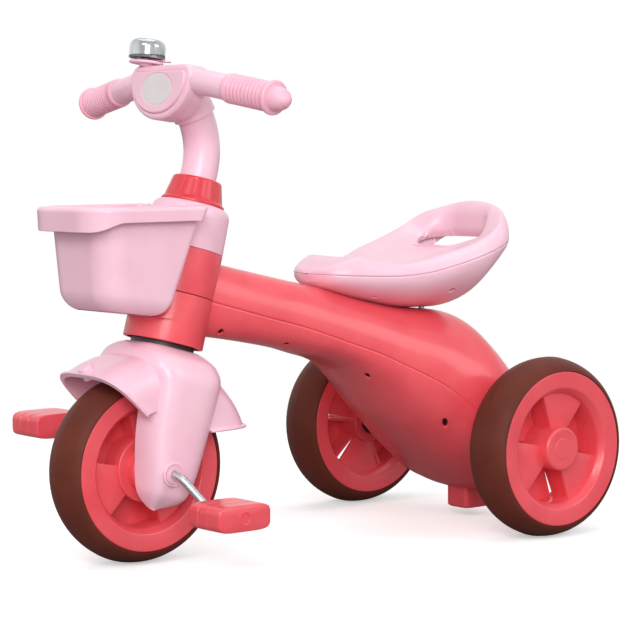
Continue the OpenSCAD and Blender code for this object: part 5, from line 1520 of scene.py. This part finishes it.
def grip_skin():
    """A turned profile. Ribs: r = R - 1.9 (1 - |sin|^0.55) over each pitch."""
    ribs_h0, ribs_h1 = GRIP_H0 + 8.0, BAR_L - KNOB_L - FLANGE_T
    h = np.linspace(ribs_h0, ribs_h1, GRIP_RIBS * 14 + 1)
    phase = 180 * GRIP_RIBS * (h - ribs_h0) / (ribs_h1 - ribs_h0)
    ribs = stacked(GRIP_R - RIB_DEEP * (1 - np.abs(sin(phase)) ** 0.55), h)
    b = np.linspace(0, 90, 7)
    swell = stacked(GRIP_R - 1.6 + 1.6 * sin(b), GRIP_H0 + 3 - 3 * cos(b))
    collar = np.vstack([[BAR_R + 0.05, GRIP_H0], swell, [GRIP_R, GRIP_H0 + 6.6], [GRIP_R - 0.6, GRIP_H0 + 7.5]])
    f0, f1 = BAR_L - KNOB_L - FLANGE_T, BAR_L - KNOB_L
    flange = rounded([[GRIP_R - 1.4, f0], [GRIP_R + 2, f0], [GRIP_R + 2, f1 - 1], [GRIP_R + 1, f1],
                      [GRIP_R - 2.4, f1 + 0.2]], [0.1, 1.2, 0.8, 0.8, 0.1], 5, closed=False)
    t = np.linspace(4, 90, 22)
    dome = arc(0, f1, GRIP_R - 2.5, KNOB_L, t)
    ring = 0.55 * np.exp(-((t - 52) / 5) ** 2)
    dome -= stacked(ring * cos(t), ring * sin(t))
    dome[-1] = [0.05, f1 + KNOB_L]
    inside = [[0.05, f0 - 2], [BAR_R + 0.05, f0 - 2]]
    return lathe(np.vstack([collar, ribs[1:-1], flange, dome, inside]), 96)


def bar_skin():
    end = BAR_L - KNOB_L - FLANGE_T - 2.1
    line = [[BAR_R - 2.5, 0], [BAR_R, 0], [BAR_R, end], [BAR_R - 2.5, end]]
    return lathe_rounded(line, [0.2, 0.5, 0.5, 0.2], 4, 64)


for side, hand in SIDES:
    add_piece(f"{hand}_handlebar_tube", placed(bar_skin(), on_bar(side)), PINK_PP, "steering",
              [f"{hand}_bar_tube"])
    add_piece(f"{hand}_ribbed_grip", placed(grip_skin(), on_bar(side)), PINK_TPR, "steering",
              [f"{hand}_grip"], angle=60)

# %% [markdown]
# Bell. A chromed dome with a round shoulder stands on a pink disc; a flat thumb
# lever comes out between them. The lever alone turns on the post.

# %% Bell
BELL_R, BELL_H, BELL_STAND, DISC_T, LEVER_T = 17.5, 19.0, 2.5, 2.5, 1.4
LEVER_Z = BELL_STAND + DISC_T + 0.9
DOME_Z = LEVER_Z + LEVER_T + 0.3
LEVER_L, LEVER_W, LEVER_TURN = 23.0, 7.0, 52


def dome_skin():
    """Outer line: straight wall, then a quarter circle into a faintly domed top;
    the inner line is the same 1.4 mm further in."""
    crown = arc(BELL_R - 8, BELL_H - 8.6, 8, 8, np.linspace(0, 90, 26))
    share = np.linspace(0, 1, 10)[1:]
    top = stacked(np.linspace(BELL_R - 8, 0.05, 10)[1:], BELL_H - 0.6 + 0.9 * smooth_step(share))
    out = np.vstack([[[BELL_R - 1.2, 0], [BELL_R - 0.3, 0], [BELL_R, 0.4], [BELL_R, 4]], crown, top])
    inner = np.maximum(out[::-1] - 1.4, [0.05, 0.4])
    return lathe(np.vstack([out, inner[:-3]]), 128)


def base_skin():
    line = [[2.55, 0], [7, 0], [7, BELL_STAND], [BELL_R - 1, BELL_STAND], [BELL_R - 1, BELL_STAND + DISC_T],
            [5, BELL_STAND + DISC_T], [5, LEVER_Z - 0.1], [2.55, LEVER_Z - 0.1]]
    return lathe_rounded(line, [0.1, 0.3, 0.5, 0.9, 0.9, 0.3, 0.3, 0.1], 5, 96)


def lever_skin():
    """Outline: a round eye, two straight sides and a rounder thumb end; rows
    lift it by its thickness with soft edges."""
    r = LEVER_W / 2 + 1
    eye = arc(0, 0, 5, 5, np.linspace(40, 320, 40))
    thumb = arc(LEVER_L - 4, 0, r, r, np.linspace(-120, 120, 30))
    line = np.vstack([eye, thumb])
    middle = line.mean(0)
    rings = []
    for z, g in ((0, 0.35), (0.25, 0), (LEVER_T - 0.25, 0), (LEVER_T, 0.35)):
        v = line - middle
        q = middle + v * (1 - g / np.linalg.norm(v, axis=1))[:, None]
        rings.append(stacked(*q.T, z))
    return placed(tube_skin(np.array(rings)), turned(2, LEVER_TURN), moved(0, 0, LEVER_Z))


add_piece("bell_base_disc", placed(base_skin(), on_bell), PINK_PP, "steering", ["bell_base"])
add_piece("bell_chrome_dome", placed(dome_skin(), moved(0, 0, DOME_Z), on_bell), CHROME, "steering",
          ["bell_dome"], angle=60)
add_piece("bell_thumb_lever", placed(lever_skin(), on_bell), PINK_PP, "bell_thumb",
          ["bell_lever"])

# %% [markdown]
# Carried-over pieces. Bushes, nuts, screws, washers, rods and the dark ring are
# right as the drawing has them: turned or stamped parts with plain faces. They
# keep their place and mesh and take the finish of their real material.

# %% Finishes of the carried-over pieces
CARRIED = {
    NYLON: ["left_crank_bush", "right_crank_bush", "lower_head_bush", "upper_head_bush"],
    DARK_PP: ["fork_ring", "axle_washers"],
    ZINC: ["left_pedal_nut", "right_pedal_nut", "rear_axle", "axle_nuts", "steerer_tube", "body_screws",
           "seat_screws", "seat_bolts", "basket_screws", "console_screws", "bell_post"],
}
for finish, names in CARRIED.items():
    for name in names:
        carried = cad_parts[name]
        carried.data.materials.clear()
        carried.data.materials.append(finish)
print("carried over:", sum(len(v) for v in CARRIED.values()))

# %% [markdown]

# %% Done
print("scene built")
